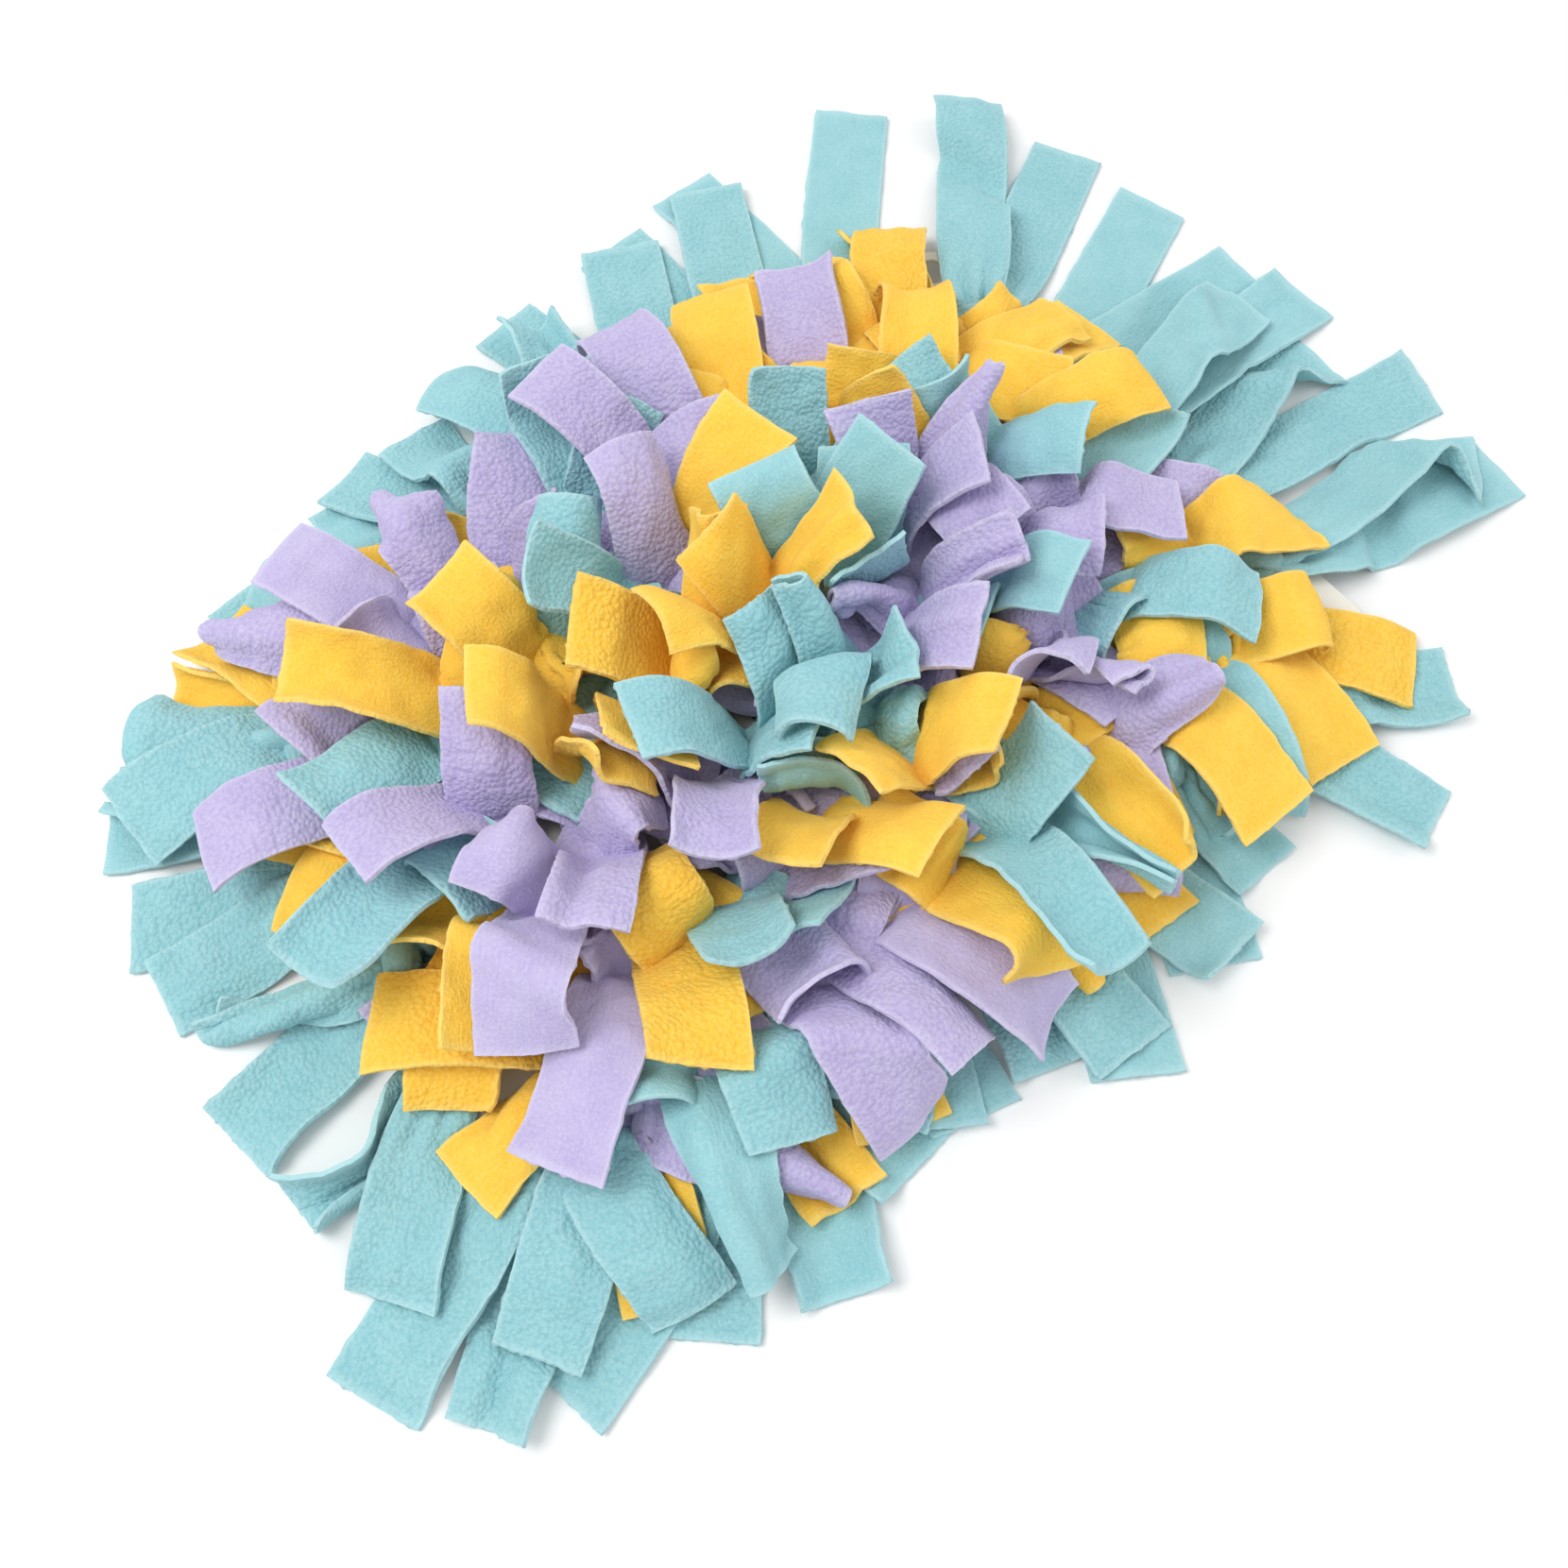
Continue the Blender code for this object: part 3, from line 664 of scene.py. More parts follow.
class Cloth:
    """Every tail as one grid of points, relaxed together until they bend and rest naturally."""

    def __init__(self, tails, ranks, draw, start=None):
        """Two tails make a strip, and a tail lies on those of a lower rank.

        start is where the first tails' points already are.
        """
        known = 0 if start is None else len(start)
        tied = len(tails) if start is None else known
        drawn = [fine_points(tail, SHOWN_FLARE, ROOT_WIDTH) for tail in tails[:tied]]
        drawn += [fine_points(tail, FILL_FLARE, FILL_ROOT_WIDTH) for tail in tails[tied:]]
        self.points = np.array(drawn, dtype=np.float32)
        if known:
            self.points[:known] = start
        self.before = self.points.copy()
        self.pinned = self.points[:, :PINNED_ROWS].copy()
        self.lengths = np.array([tail.along[-1] for tail in tails], dtype=np.float32)
        self.step = (self.lengths / (ROWS - 1))[:, None, None]
        self.across_bend, self.along_bend = bends(tails, tied, draw)
        self.tail_of = np.repeat(np.arange(len(tails)), ROWS * COLUMNS)
        self.strip_of = self.tail_of // 2
        self.rank_of = np.array(ranks)[self.tail_of]
        rows = np.arange(ROWS)[None, :, None] * np.ones((len(tails), 1, COLUMNS), dtype=int)
        self.row_of = rows.astype(int).ravel()
        self.column_of = np.tile(np.arange(COLUMNS), len(tails) * ROWS)
        self.along_of = (rows * self.step).ravel()
        self.solid = (self.tail_of < known) | (self.along_of > FILL_ROOT) | (known == 0)
        self.knots = np.array([tail.knot for tail in tails], dtype=np.float32)
        self.all_knots = np.unique(self.knots, axis=0)
        away = np.abs(self.all_knots[None] - self.knots[:, None]).max(axis=2)
        self.is_own = (away < MM).astype(np.float32)

    def relax(self, steps):
        """Runs the relaxation."""
        for count in range(steps):
            if count % PAIR_STEPS == 0:
                self.find_pairs()
                self.find_knots()
            moved = (self.points - self.before) * KEPT_SPEED
            self.before = self.points.copy()
            self.points += np.clip(moved, -MOST_PUSH, MOST_PUSH)
            self.points[..., 2] -= GRAVITY
            for _ in range(ROUNDS):
                self.bend()
                self.stretch()
                self.points[:, :PINNED_ROWS] = self.pinned
            self.part_layers()
            self.clear_hard_things()
            self.points[:, :PINNED_ROWS] = self.pinned

    def stretch(self):
        """Keeps the cloth's threads at their length, along, across and on the diagonals."""
        p, along = self.points, self.step
        slant = np.sqrt(along**2 + SPACING**2)
        for first in (0, 1):
            hold(p[:, first:-1:2], p[:, first + 1 :: 2], along, 1.0)
            hold(p[:, :, first:-1:2], p[:, :, first + 1 :: 2], SPACING, 1.0)
            hold(p[:, first:-1:2, :-1], p[:, first + 1 :: 2, 1:], slant, SLANT_HOLD)
            hold(p[:, first:-1:2, 1:], p[:, first + 1 :: 2, :-1], slant, SLANT_HOLD)

    def bend(self):
        """Pulls each point towards the curve that its cloth wants, across and along the tail."""
        up = normals(self.points)
        turned = [values.swapaxes(1, 2) for values in (self.points, self.across_bend, up)]
        for reach, stiffness in BENDING:
            flex(*turned, reach, stiffness)
            flex(self.points, self.along_bend, up, reach, stiffness)

    def find_pairs(self):
        """The pairs of points of different layers that could touch in the next few steps."""
        first, second = near_pairs(self.points.reshape(-1, 3), REACH)
        same = self.tail_of[first] == self.tail_of[second]
        rows_apart = np.abs(self.row_of[first] - self.row_of[second])
        columns_apart = np.abs(self.column_of[first] - self.column_of[second])
        nearer = np.minimum(self.along_of[first], self.along_of[second])
        folded = (nearer > FLARE_LENGTH) & ((rows_apart > FOLD_STEPS) | (columns_apart > FOLD_STEPS))
        mates = self.strip_of[first] == self.strip_of[second]
        kept = np.where(same, folded, ~mates | (nearer > OWN_REACH))
        kept &= self.solid[first] & self.solid[second]
        first, second = first[kept], second[kept]
        swapped = self.rank_of[first] > self.rank_of[second]
        self.first = np.where(swapped, second, first)
        self.second = np.where(swapped, first, second)
        self.same = self.tail_of[self.first] == self.tail_of[self.second]

    def part_layers(self):
        """Keeps each layer above those that it was laid on, and layers of one tail apart."""
        flat = self.points.reshape(-1, 3)
        gap = flat[self.second] - flat[self.first]
        far = np.sqrt(dots(gap, gap)) + 1e-9
        up = normals(self.points).reshape(-1, 3)[self.first]
        up = up * np.where(up[:, 2:] < 0, -1, 1)
        above = dots(gap, up)
        beside = np.sqrt(np.maximum(far**2 - above**2, 0))
        level = ~self.same & (up[:, 2] > LEAST_LEVEL)
        low = level & (above < LAYER_GAP) & (beside < LAYER_SPREAD)
        near = ~level & (far < CONTACT)
        push = np.zeros_like(gap)
        push[low] = up[low] * ((LAYER_GAP - above[low]) / 2)[:, None]
        push[near] = gap[near] * ((CONTACT - far[near]) / far[near] / 2)[:, None]
        active = low | near
        first, second, push = self.first[active], self.second[active], push[active]
        count = np.bincount(first, minlength=len(flat)) + np.bincount(second, minlength=len(flat))
        share = MOST_SHARE / np.maximum(count, MOST_SHARE)
        for axis in range(3):
            total = np.bincount(second, push[:, axis], len(flat))
            total -= np.bincount(first, push[:, axis], len(flat))
            flat[:, axis] += np.clip(total * share, -MOST_PUSH, MOST_PUSH)

    def find_knots(self):
        """The nearest knot of another strip to each point."""
        flat = self.points.reshape(-1, 3)[:, :2]
        away = dots(self.all_knots, self.all_knots) - 2 * flat @ self.all_knots.T
        self.near_knot = self.all_knots[np.argmin(away + self.is_own[self.tail_of], axis=1)]

    def clear_hard_things(self):
        """Keeps the cloth above the floor, out of the base and out of the other strips' knots."""
        flat = self.points.reshape(-1, 3)
        middle = np.column_stack((self.near_knot, np.full(len(flat), KNOT_MIDDLE)))
        reach = np.array(KNOT_SIZE) / 2 + HALF_THICKNESS
        gap = (flat - middle) / reach
        far = np.sqrt(dots(gap, gap))
        inside = far < 1
        out = gap[inside] * (1 / np.maximum(far[inside], LEAST_FAR) - 1)[:, None] * reach
        flat[inside] += np.clip(out, -MOST_PUSH, MOST_PUSH)
        half = np.array((BASE_LENGTH, BASE_WIDTH)) / 2 + HALF_THICKNESS
        over = half - np.abs(flat[:, :2])
        low = BASE_TOP + HALF_THICKNESS - flat[:, 2]
        within = (over > 0).all(axis=1) & (low > 0)
        up = within & (low < over.min(axis=1) + EDGE_DEPTH)
        flat[up, 2] += low[up]
        flat[:, 2] = np.maximum(flat[:, 2], HALF_THICKNESS)


def hold(a, b, length, stiffness):
    """Moves two slices of points until each pair is this far apart."""
    gap = b - a
    far = np.sqrt((gap**2).sum(axis=-1)) + 1e-9
    gap *= ((far - length) / far * (stiffness / 2))[..., None]
    a += gap
    b -= gap


def flex(points, want, up, reach, stiffness):
    """Pulls each point towards its wanted height above the middle of the two this far from it."""
    inner = slice(reach, -reach)
    off = points[:, inner] - (points[:, : -2 * reach] + points[:, 2 * reach :]) / 2
    off = (off - want[:, inner, :, None] * reach**2 * up[:, inner]) * stiffness
    points[:, inner] -= off / 2
    points[:, : -2 * reach] += off / 4
    points[:, 2 * reach :] += off / 4


def normals(points):
    """The cloth's upward unit normal at each point."""
    across = np.gradient(points, axis=2)
    along = np.gradient(points, axis=1)
    up = np.cross(across, along)
    return up / (np.linalg.norm(up, axis=-1, keepdims=True) + 1e-12)


def dots(first, second):
    """The dot product of each vector with its partner."""
    return np.einsum("ij,ij->i", first, second)


def near_pairs(points, reach):
    """The pairs of points nearer than reach, found with a grid of cells of that size."""
    cells = np.floor(points / reach).astype(np.int64)
    cells -= cells.min(axis=0) - 1
    size = cells.max(axis=0) + 2
    key = (cells[:, 0] * size[1] + cells[:, 1]) * size[2] + cells[:, 2]
    order = np.argsort(key, kind="stable")
    ordered = key[order]
    firsts, seconds = [], []
    for x, y in ((0, 0), (0, 1), (1, -1), (1, 0), (1, 1)):
        shifted = key + (x * size[1] + y) * size[2]
        low = np.searchsorted(ordered, shifted - 1, "left")
        count = np.searchsorted(ordered, shifted + 1, "right") - low
        first = np.repeat(np.arange(len(points)), count)
        start = np.repeat(np.cumsum(count) - count, count)
        second = order[np.arange(len(first)) - start + np.repeat(low, count)]
        gap = points[first] - points[second]
        kept = dots(gap, gap) < reach**2
        if (x, y) == (0, 0):
            kept &= first < second
        firsts.append(first[kept])
        seconds.append(second[kept])
    return np.concatenate(firsts), np.concatenate(seconds)


def fine_points(tail, flare, root_width):
    """A tail's middle surface as rows and columns of points, pleated where it is gathered."""
    share = np.linspace(0, TAIL_SEGMENTS, ROWS)
    stations = np.arange(TAIL_SEGMENTS + 1)

    def at(values):
        return np.stack([np.interp(share, stations, values[:, k]) for k in range(3)], axis=1)

    left, right, upward = at(tail.left), at(tail.right), at(tail.upward)
    middle, half = (left + right) / 2, (right - left) / 2
    along = np.linspace(0, tail.along[-1], ROWS)
    widths = root_width + (TAIL_WIDTH - root_width) * smooth_share(along / flare)
    half *= (widths / 2 / np.linalg.norm(half, axis=1))[:, None]
    across = np.linspace(-1, 1, COLUMNS)[None, :, None]
    flat = (middle + upward / 2)[:, None] + across * half[:, None]
    heights = np.sqrt(np.maximum(FLANK**2 - (widths / (COLUMNS - 1) * 2) ** 2, 0))
    unit = upward / np.linalg.norm(upward, axis=1, keepdims=True)
    return flat + PLEATS[None, :, None] * (unit * heights[:, None])[:, None]


def bends(tails, tied, draw):
    """How far each point wants to stand above the middle of its neighbours, across and along.

    The first tails, up to the count tied, are gathered at their knots.
    """
    across = np.zeros((len(tails), ROWS, COLUMNS), dtype=np.float32)
    along = np.zeros_like(across)
    share = np.linspace(0, 1, ROWS)[:, None]
    side = np.linspace(-1, 1, COLUMNS)[None, :]
    gather = np.zeros(COLUMNS)
    gather[1:-1] = PLEATS[1:-1] - (PLEATS[:-2] + PLEATS[2:]) / 2
    for k, tail in enumerate(tails):
        length = tail.along[-1]
        step = length / (ROWS - 1)
        distance = share * length
        calm = CALM_SHARE if length > CALM_LENGTH else 1.0
        cup = draw.gauss(0, CUP) * calm
        shift = draw.gauss(0, CUP_CHANGE) * calm
        curve = cup + shift * np.cos(math.pi * share * draw.uniform(*CUP_WAVES))
        if draw.random() < CREASED * calm:
            place = draw.uniform(-CREASE_SIDE, CREASE_SIDE)
            sharp = draw.choice((-1, 1)) * draw.uniform(*CREASE)
            curve = curve + sharp * np.exp(-(((side - place) / CREASE_WIDTH) ** 2))
        ripple = np.exp(-distance / PLEAT_FADE) * gather[None] * PLEAT_DEPTH * (k < tied)
        across[k] = -curve * SPACING**2 / 2 * smooth_share(share * CUP_ONSET) + ripple
        arch = draw.uniform(*ARCH) / length * calm
        tip = draw.gauss(0, TIP_CURL) * calm
        skew = draw.uniform(-SKEW, SKEW)
        turned = arch + tip * smooth_share((share - TIP_START) / TIP_SPAN) * (1 + skew * side)
        if draw.random() < HOOKED * calm:
            place = draw.uniform(*HOOK_PLACE) + HOOK_SKEW * skew * side
            sharp = draw.choice((-1, 1, 1)) * draw.uniform(*HOOK)
            turned = turned + sharp * np.exp(-(((share - place) * length / HOOK_REACH) ** 2))
        along[k] = turned * step**2 / 2
    return across, along


def smooth_share(value):
    """0 to 1 with soft ends."""
    value = np.clip(value, 0, 1)
    return value * value * (3 - 2 * value)


def spline_weights(count, finer):
    """The matrix that draws count points as a finer smooth curve through them."""
    weights = np.zeros((finer, count))
    for k, place in enumerate(np.linspace(0, count - 1, finer)):
        i = min(int(place), count - 2)
        t = place - i
        cubic = (
            (-t + 2 * t**2 - t**3) / 2,
            (2 - 5 * t**2 + 3 * t**3) / 2,
            (t + 4 * t**2 - 3 * t**3) / 2,
            (-(t**2) + t**3) / 2,
        )
        for offset, weight in zip((-1, 0, 1, 2), cubic):
            at = i + offset
            if at < 0:
                weights[k, 0] += 2 * weight
                weights[k, 1] -= weight
            elif at >= count:
                weights[k, count - 1] += 2 * weight
                weights[k, count - 2] -= weight
            else:
                weights[k, at] += weight
    return weights


class Shell:
    """Vertices, faces and their cloth coordinates, gathered for one mesh."""

    def __init__(self):
        self.faces = []
        self.parts = []
        self.count = 0

    def add(self, face_groups, *values):
        """Adds a piece: its faces, then its points and their UVs, naps, edges and rims.

        Each face group is an array of faces with the same number of corners. A rim is 0 but at
        the cut edges, where it numbers the sharp lines that run along them.
        """
        for group in face_groups:
            self.faces.extend((group + self.count).tolist())
        self.parts.append(values)
        self.count += len(values[0])

    def mesh(self, name):
        """The mesh, with a UV map in cloth measure and the nap and edge of each point."""
        points, uvs, naps, edges, rims = map(np.concatenate, zip(*self.parts))
        mesh = bpy.data.meshes.new(name)
        mesh.from_pydata(points.tolist(), [], self.faces)
        corners = np.concatenate(self.faces)
        layer = mesh.uv_layers.new(name="cloth")
        layer.data.foreach_set("uv", uvs[corners].ravel().astype(np.float32))
        for title, values in (("nap", naps), ("edge", edges)):
            attribute = mesh.attributes.new(title, "FLOAT", "POINT")
            attribute.data.foreach_set("value", values.astype(np.float32))
        mesh.shade_smooth()
        ends = np.empty(2 * len(mesh.edges), dtype=np.int32)
        mesh.edges.foreach_get("vertices", ends)
        first, second = rims[ends[::2]], rims[ends[1::2]]
        sharp = mesh.attributes.new("sharp_edge", "BOOLEAN", "EDGE")
        sharp.data.foreach_set("value", (first == second) & (first > 0))
        return mesh


def uneven(points, length, draw):
    """Cuts a tail's tip at a slant and makes its sides not quite parallel."""
    rows, columns = points.shape[:2]
    share, side = np.linspace(0, 1, rows)[:, None], np.linspace(-1, 1, columns)
    slant = min(max(draw.gauss(0, SLANT), -MOST_SLANT), MOST_SLANT) / length
    place = (rows - 1) * share * (1 - abs(slant) / 2 - slant / 2 * side)
    row = np.minimum(place.astype(int), rows - 2)
    past = (place - row)[..., None]
    column = np.arange(columns)
    cut = points[row, column] * (1 - past) + points[row + 1, column] * past
    spine = cut[:, columns // 2, None]
    narrow = draw.uniform(-UNEVEN, 0) + draw.gauss(0, UNEVEN) * share[..., None]
    return spine + (cut - spine) * (1 + np.minimum(narrow, UNEVEN))


def crumple(side, along, draw):
    """The soft unevenness of handled cloth: a few crossing waves."""
    height = np.zeros_like(along)
    for _ in range(CRUMPLE_WAVES):
        turn, phase = draw.uniform(0, math.pi), draw.uniform(0, math.tau)
        wave = draw.uniform(*CRUMPLE_LENGTH) / math.tau
        height += np.sin((side * math.cos(turn) + along * math.sin(turn)) / wave + phase)
    return height * CRUMPLE / math.sqrt(CRUMPLE_WAVES) * smooth_share(along / FLARE_LENGTH)


def tail_border():
    """The rows and columns of a tail's cut edge, from its root round its tip and back."""
    last_row, last_column = SHOWN_ROWS - 1, SHOWN_COLUMNS - 1
    border = [(r, 0) for r in range(SHOWN_ROWS)]
    border += [(last_row, c) for c in range(1, SHOWN_COLUMNS)]
    border += [(r, last_column) for r in range(last_row - 1, -1, -1)]
    return tuple(np.array(border).T)


def tail_faces(border):
    """The faces of a tail's upper and lower sides, its rounded edge and its root."""
    size = SHOWN_ROWS * SHOWN_COLUMNS
    index = np.arange(size).reshape(SHOWN_ROWS, SHOWN_COLUMNS)
    top = np.stack((index[:-1, :-1], index[:-1, 1:], index[1:, 1:], index[1:, :-1]), axis=-1)
    top = top.reshape(-1, 4)
    edge = index[border]
    rim = 2 * size + np.arange(len(edge))
    upper = np.stack((edge[:-1], edge[1:], rim[1:], rim[:-1]), axis=-1)
    lower = np.stack((rim[:-1], rim[1:], edge[1:] + size, edge[:-1] + size), axis=-1)
    root = np.stack((index[0, :-1], index[0, :-1] + size, index[0, 1:] + size, index[0, 1:]), axis=-1)
    rims = np.zeros(2 * size + len(edge), dtype=int)
    rims[edge] = 1
    rims[edge + size] = 2
    return (top, top[:, ::-1] + size, upper, lower, root), rims


def tail_sides(middle):
    """The upper and lower sides of a tail, thinner at its cut edges."""
    thickness = np.full(middle.shape[:2], SHOWN_HALF)
    thickness[:, (0, -1)] *= EDGE_THINNER
    thickness[-1, 1:-1] *= EDGE_THINNER
    shift = normals(middle[None])[0] * thickness[..., None]
    top, bottom = middle + shift, middle - shift
    bottom[..., 2] = np.maximum(bottom[..., 2], 0)
    return top, bottom


def tail_rim(middle, border, rand):
    """The line along the middle of a tail's cut edge, a little further out and ragged."""
    across = np.gradient(middle, axis=1)
    across /= np.linalg.norm(across, axis=-1, keepdims=True)
    ahead = np.gradient(middle, axis=0)[-1]
    ahead /= np.linalg.norm(ahead, axis=-1, keepdims=True)
    out = np.zeros_like(middle)
    out[:, 0] = -across[:, 0]
    out[:, -1] = across[:, -1]
    out[-1] += ahead
    out /= np.linalg.norm(out, axis=-1, keepdims=True) + 1e-9
    bulge = EDGE_BULGE + RAGGED * rand.standard_normal(len(border[0]))
    rim = middle[border] + out[border] * bulge[:, None]
    rim[:, 2] = np.maximum(rim[:, 2], EDGE_BULGE)
    return rim


def add_tail(shell, points, length, draw, flipped):
    """Adds a tail's two faces and the rounded edge between them."""
    rows, columns = spline_weights(ROWS, SHOWN_ROWS), spline_weights(COLUMNS, SHOWN_COLUMNS)
    middle = uneven(np.einsum("ra,abk,cb->rck", rows, points, columns), length, draw)
    side = np.linspace(0, TAIL_WIDTH, SHOWN_COLUMNS)[None] * np.ones((SHOWN_ROWS, 1))
    along = np.linspace(0, length, SHOWN_ROWS)[:, None] * np.ones((1, SHOWN_COLUMNS))
    middle += normals(middle[None])[0] * crumple(side, along, draw)[..., None]
    middle[..., 2] = np.maximum(middle[..., 2], SHOWN_HALF)
    border = tail_border()
    faces, rims = tail_faces(border)
    top, bottom = tail_sides(middle)
    rim = tail_rim(middle, border, np.random.default_rng(draw.randrange(10**6)))
    place = np.array((draw.uniform(0, 1), draw.uniform(0, 1)))
    uv = np.stack((side, along), axis=-1) * UV_SCALE + place
    # How near each point is to a cut edge: the weight of the painted sheen there
    to_edge = np.minimum(np.minimum(side, TAIL_WIDTH - side), length - along)
    near = np.exp(-to_edge / EDGE_SHEEN_FADE)
    facing = 0.0 if flipped else 1.0
    shell.add(
        faces,
        np.concatenate((top.reshape(-1, 3), bottom.reshape(-1, 3), rim)),
        np.concatenate((uv.reshape(-1, 2),) * 2 + (uv[border],)),
        np.repeat((facing, 1 - facing, 0.5), (near.size, near.size, len(rim))),
        np.concatenate((near.ravel(), near.ravel(), np.ones(len(rim)))),
        rims,
    )


def smooth_path(stops, count):
    """A smooth curve through a few stops."""
    stops = np.array(stops, dtype=float)
    return spline_weights(len(stops), count) @ stops


def frames(path, beside):
    """The directions to the side of a path and up from it, without a sudden turn."""
    ahead = np.gradient(path, axis=0)
    ahead /= np.linalg.norm(ahead, axis=1, keepdims=True)
    side = np.empty_like(path)
    last = beside
    for k in range(len(path)):
        turned = beside - ahead[k] * (beside @ ahead[k]) + FRAME_HOLD * last
        turned -= ahead[k] * (turned @ ahead[k])
        side[k] = last = turned / np.linalg.norm(turned)
    return side, np.cross(side, ahead)


def add_run(shell, path, halves, beside, draw):
    """Adds the gathered cloth along a path, as a lobed tube of these half sizes (side, up)."""
    side, up = frames(path, beside)
    angle = np.linspace(0, math.tau, RUN_SIDES, endpoint=False)[None]
    drift = np.linspace(0, LOBE_TWIST, len(path))[:, None] * draw.choice((-1, 1))
    lobes = 1 + LOBE_DEPTH * np.cos(RUN_LOBES * angle + drift)
    x = (np.cos(angle) * lobes * halves[:, :1])[..., None]
    y = (np.sin(angle) * lobes * halves[:, 1:])[..., None]
    points = path[:, None] + x * side[:, None] + y * up[:, None]
    rows = len(path)
    index = np.arange(rows * RUN_SIDES).reshape(rows, RUN_SIDES)
    nxt = np.roll(index, -1, axis=1)
    quads = np.stack((index[:-1], nxt[:-1], nxt[1:], index[1:]), axis=-1).reshape(-1, 4)
    faces = (quads, index[:1, ::-1], index[-1:])
    distance = np.concatenate(([0], np.cumsum(np.linalg.norm(np.diff(path, axis=0), axis=1))))
    around = np.linspace(0, TAIL_WIDTH, RUN_SIDES)[None] * np.ones((rows, 1))
    uv = np.stack((around, distance[:, None] * np.ones((1, RUN_SIDES))), axis=-1) * UV_SCALE
    count = rows * RUN_SIDES
    none = np.zeros(count)
    shell.add(faces, points.reshape(-1, 3), uv.reshape(-1, 2), none, none, none.astype(int))


def strip_run(knot, first, second, leg, turned):
    """The path and half sizes of a strip from one tail's root, through its knot, to the other's.

    Both ends come up through holes a leg from the knot, cross over and twist once round each
    other. The holes are side by side, or one behind the other where the strip is turned.
    """
    axis = np.array((0.0, 1.0, 0.0) if turned else (1.0, 0.0, 0.0))
    beside = axis[[1, 0, 2]]
    rise = np.array((0.0, 0.0, 1.0))
    axis *= 1 if first @ axis <= second @ axis else -1
    middle = np.array((*knot, 0.0))

    def strand(phase, towards, root):
        stops = []
        for share in np.arange(STRAND_STOPS) / (STRAND_STOPS - 1):
            angle = phase + STRAND_TURN * share
            x = towards * (STRAND_REACH - STRAND_LENGTH * share)
            height = KNOT_MIDDLE + STRAND_LIFT + TWIST * TWIST_RISE * math.cos(angle)
            stops.append(middle + axis * x + beside * TWIST * math.sin(angle) + rise * height)
        return stops + [root]

    first_part = strand(STRAND_PHASE, 1, first)[::-1]
    second_part = strand(STRAND_PHASE + math.pi, -1, second)
    bar = BAR_THICKNESS / 2
    low = [(leg, BASE_TOP + LEG_TOP), (leg, BASE_BOTTOM), (leg - BAR_ROUND, bar)]
    under = [middle + axis * x + rise * z for x, z in low]
    under += [middle - axis * x + rise * z for x, z in reversed(low)]
    path = smooth_path(first_part + under + second_part, RUN_POINTS)
    path[:, 2] = np.maximum(path[:, 2], bar)
    height = np.clip((path[:, 2] - bar) / RUN_RISE, 0, 1)[:, None]
    halves = RUN_LOW + (RUN_HIGH - RUN_LOW) * height
    from_end = np.minimum(np.arange(RUN_POINTS), np.arange(RUN_POINTS)[::-1])
    taper = np.clip(from_end / TAPER_POINTS + TAPER_LEAST, 0, 1)[:, None]
    return path, halves * taper, beside


def new_object(name, mesh, material):
    """An object of this mesh and material in the scene."""
    obj = bpy.data.objects.new(name, mesh)
    bpy.context.scene.collection.objects.link(obj)
    mesh.materials.append(material)
    return obj


def base_outline():
    """The sheet's outline with round corners, an edge's radius inside its sides."""
    outline = []
    half_length = BASE_LENGTH / 2 - BASE_EDGE
    half_width = BASE_WIDTH / 2 - BASE_EDGE
    for quarter, (x, y) in enumerate(((1, 1), (-1, 1), (-1, -1), (1, -1))):
        x *= half_length - BASE_CORNER
        y *= half_width - BASE_CORNER
        for k in range(CORNER_STEPS + 1):
            angle = math.pi / 2 * (quarter + k / CORNER_STEPS)
            outline.append((x + BASE_CORNER * math.cos(angle), y + BASE_CORNER * math.sin(angle)))
    return outline


def hole_outlines():
    """Every hole's outline, an edge's radius outside its side."""
    radius = HOLE_RADIUS + BASE_EDGE
    turns = [math.tau * k / HOLE_SIDES for k in range(HOLE_SIDES)]
    for column in range(HOLE_COLUMNS):
        for row in range(HOLE_ROWS):
            x = (column - (HOLE_COLUMNS - 1) / 2) * HOLE_PITCH
            y = (row - (HOLE_ROWS - 1) / 2) * ROW_PITCH
            yield [(x + radius * math.cos(t), y + radius * math.sin(t)) for t in turns]


def make_base(centre):
    """The perforated sheet with rounded edges and holes."""
    curve = bpy.data.curves.new("base_outline", "CURVE")
    curve.dimensions = "2D"
    curve.fill_mode = "BOTH"
    curve.extrude = BASE_THICKNESS / 2 - BASE_EDGE
    curve.bevel_depth = BASE_EDGE
    curve.bevel_resolution = 2
    for points in (base_outline(), *hole_outlines()):
        add_loop(curve, points)
    drawn = bpy.data.objects.new("base_outline", curve)
    bpy.context.scene.collection.objects.link(drawn)
    mesh = bpy.data.meshes.new_from_object(drawn.evaluated_get(bpy.context.evaluated_depsgraph_get()))
    bpy.data.objects.remove(drawn, do_unlink=True)
    shape = bmesh.new()
    shape.from_mesh(mesh)
    bmesh.ops.remove_doubles(shape, verts=shape.verts, dist=MERGED)
    bmesh.ops.translate(shape, verts=shape.verts, vec=(*centre, BASE_BOTTOM + BASE_THICKNESS / 2))
    shape.to_mesh(mesh)
    shape.free()
    mesh.materials.clear()
    obj = new_object("plastic_base", mesh, base_material())
    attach(obj, "root")
    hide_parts("base")


def add_loop(curve, points):
    """A closed straight-sided loop in a curve."""
    loop = curve.splines.new("POLY")
    loop.points.add(len(points) - 1)
    for point, place in zip(loop.points, points):
        point.co = (*place, 0, 1)
    loop.use_cyclic_u = True


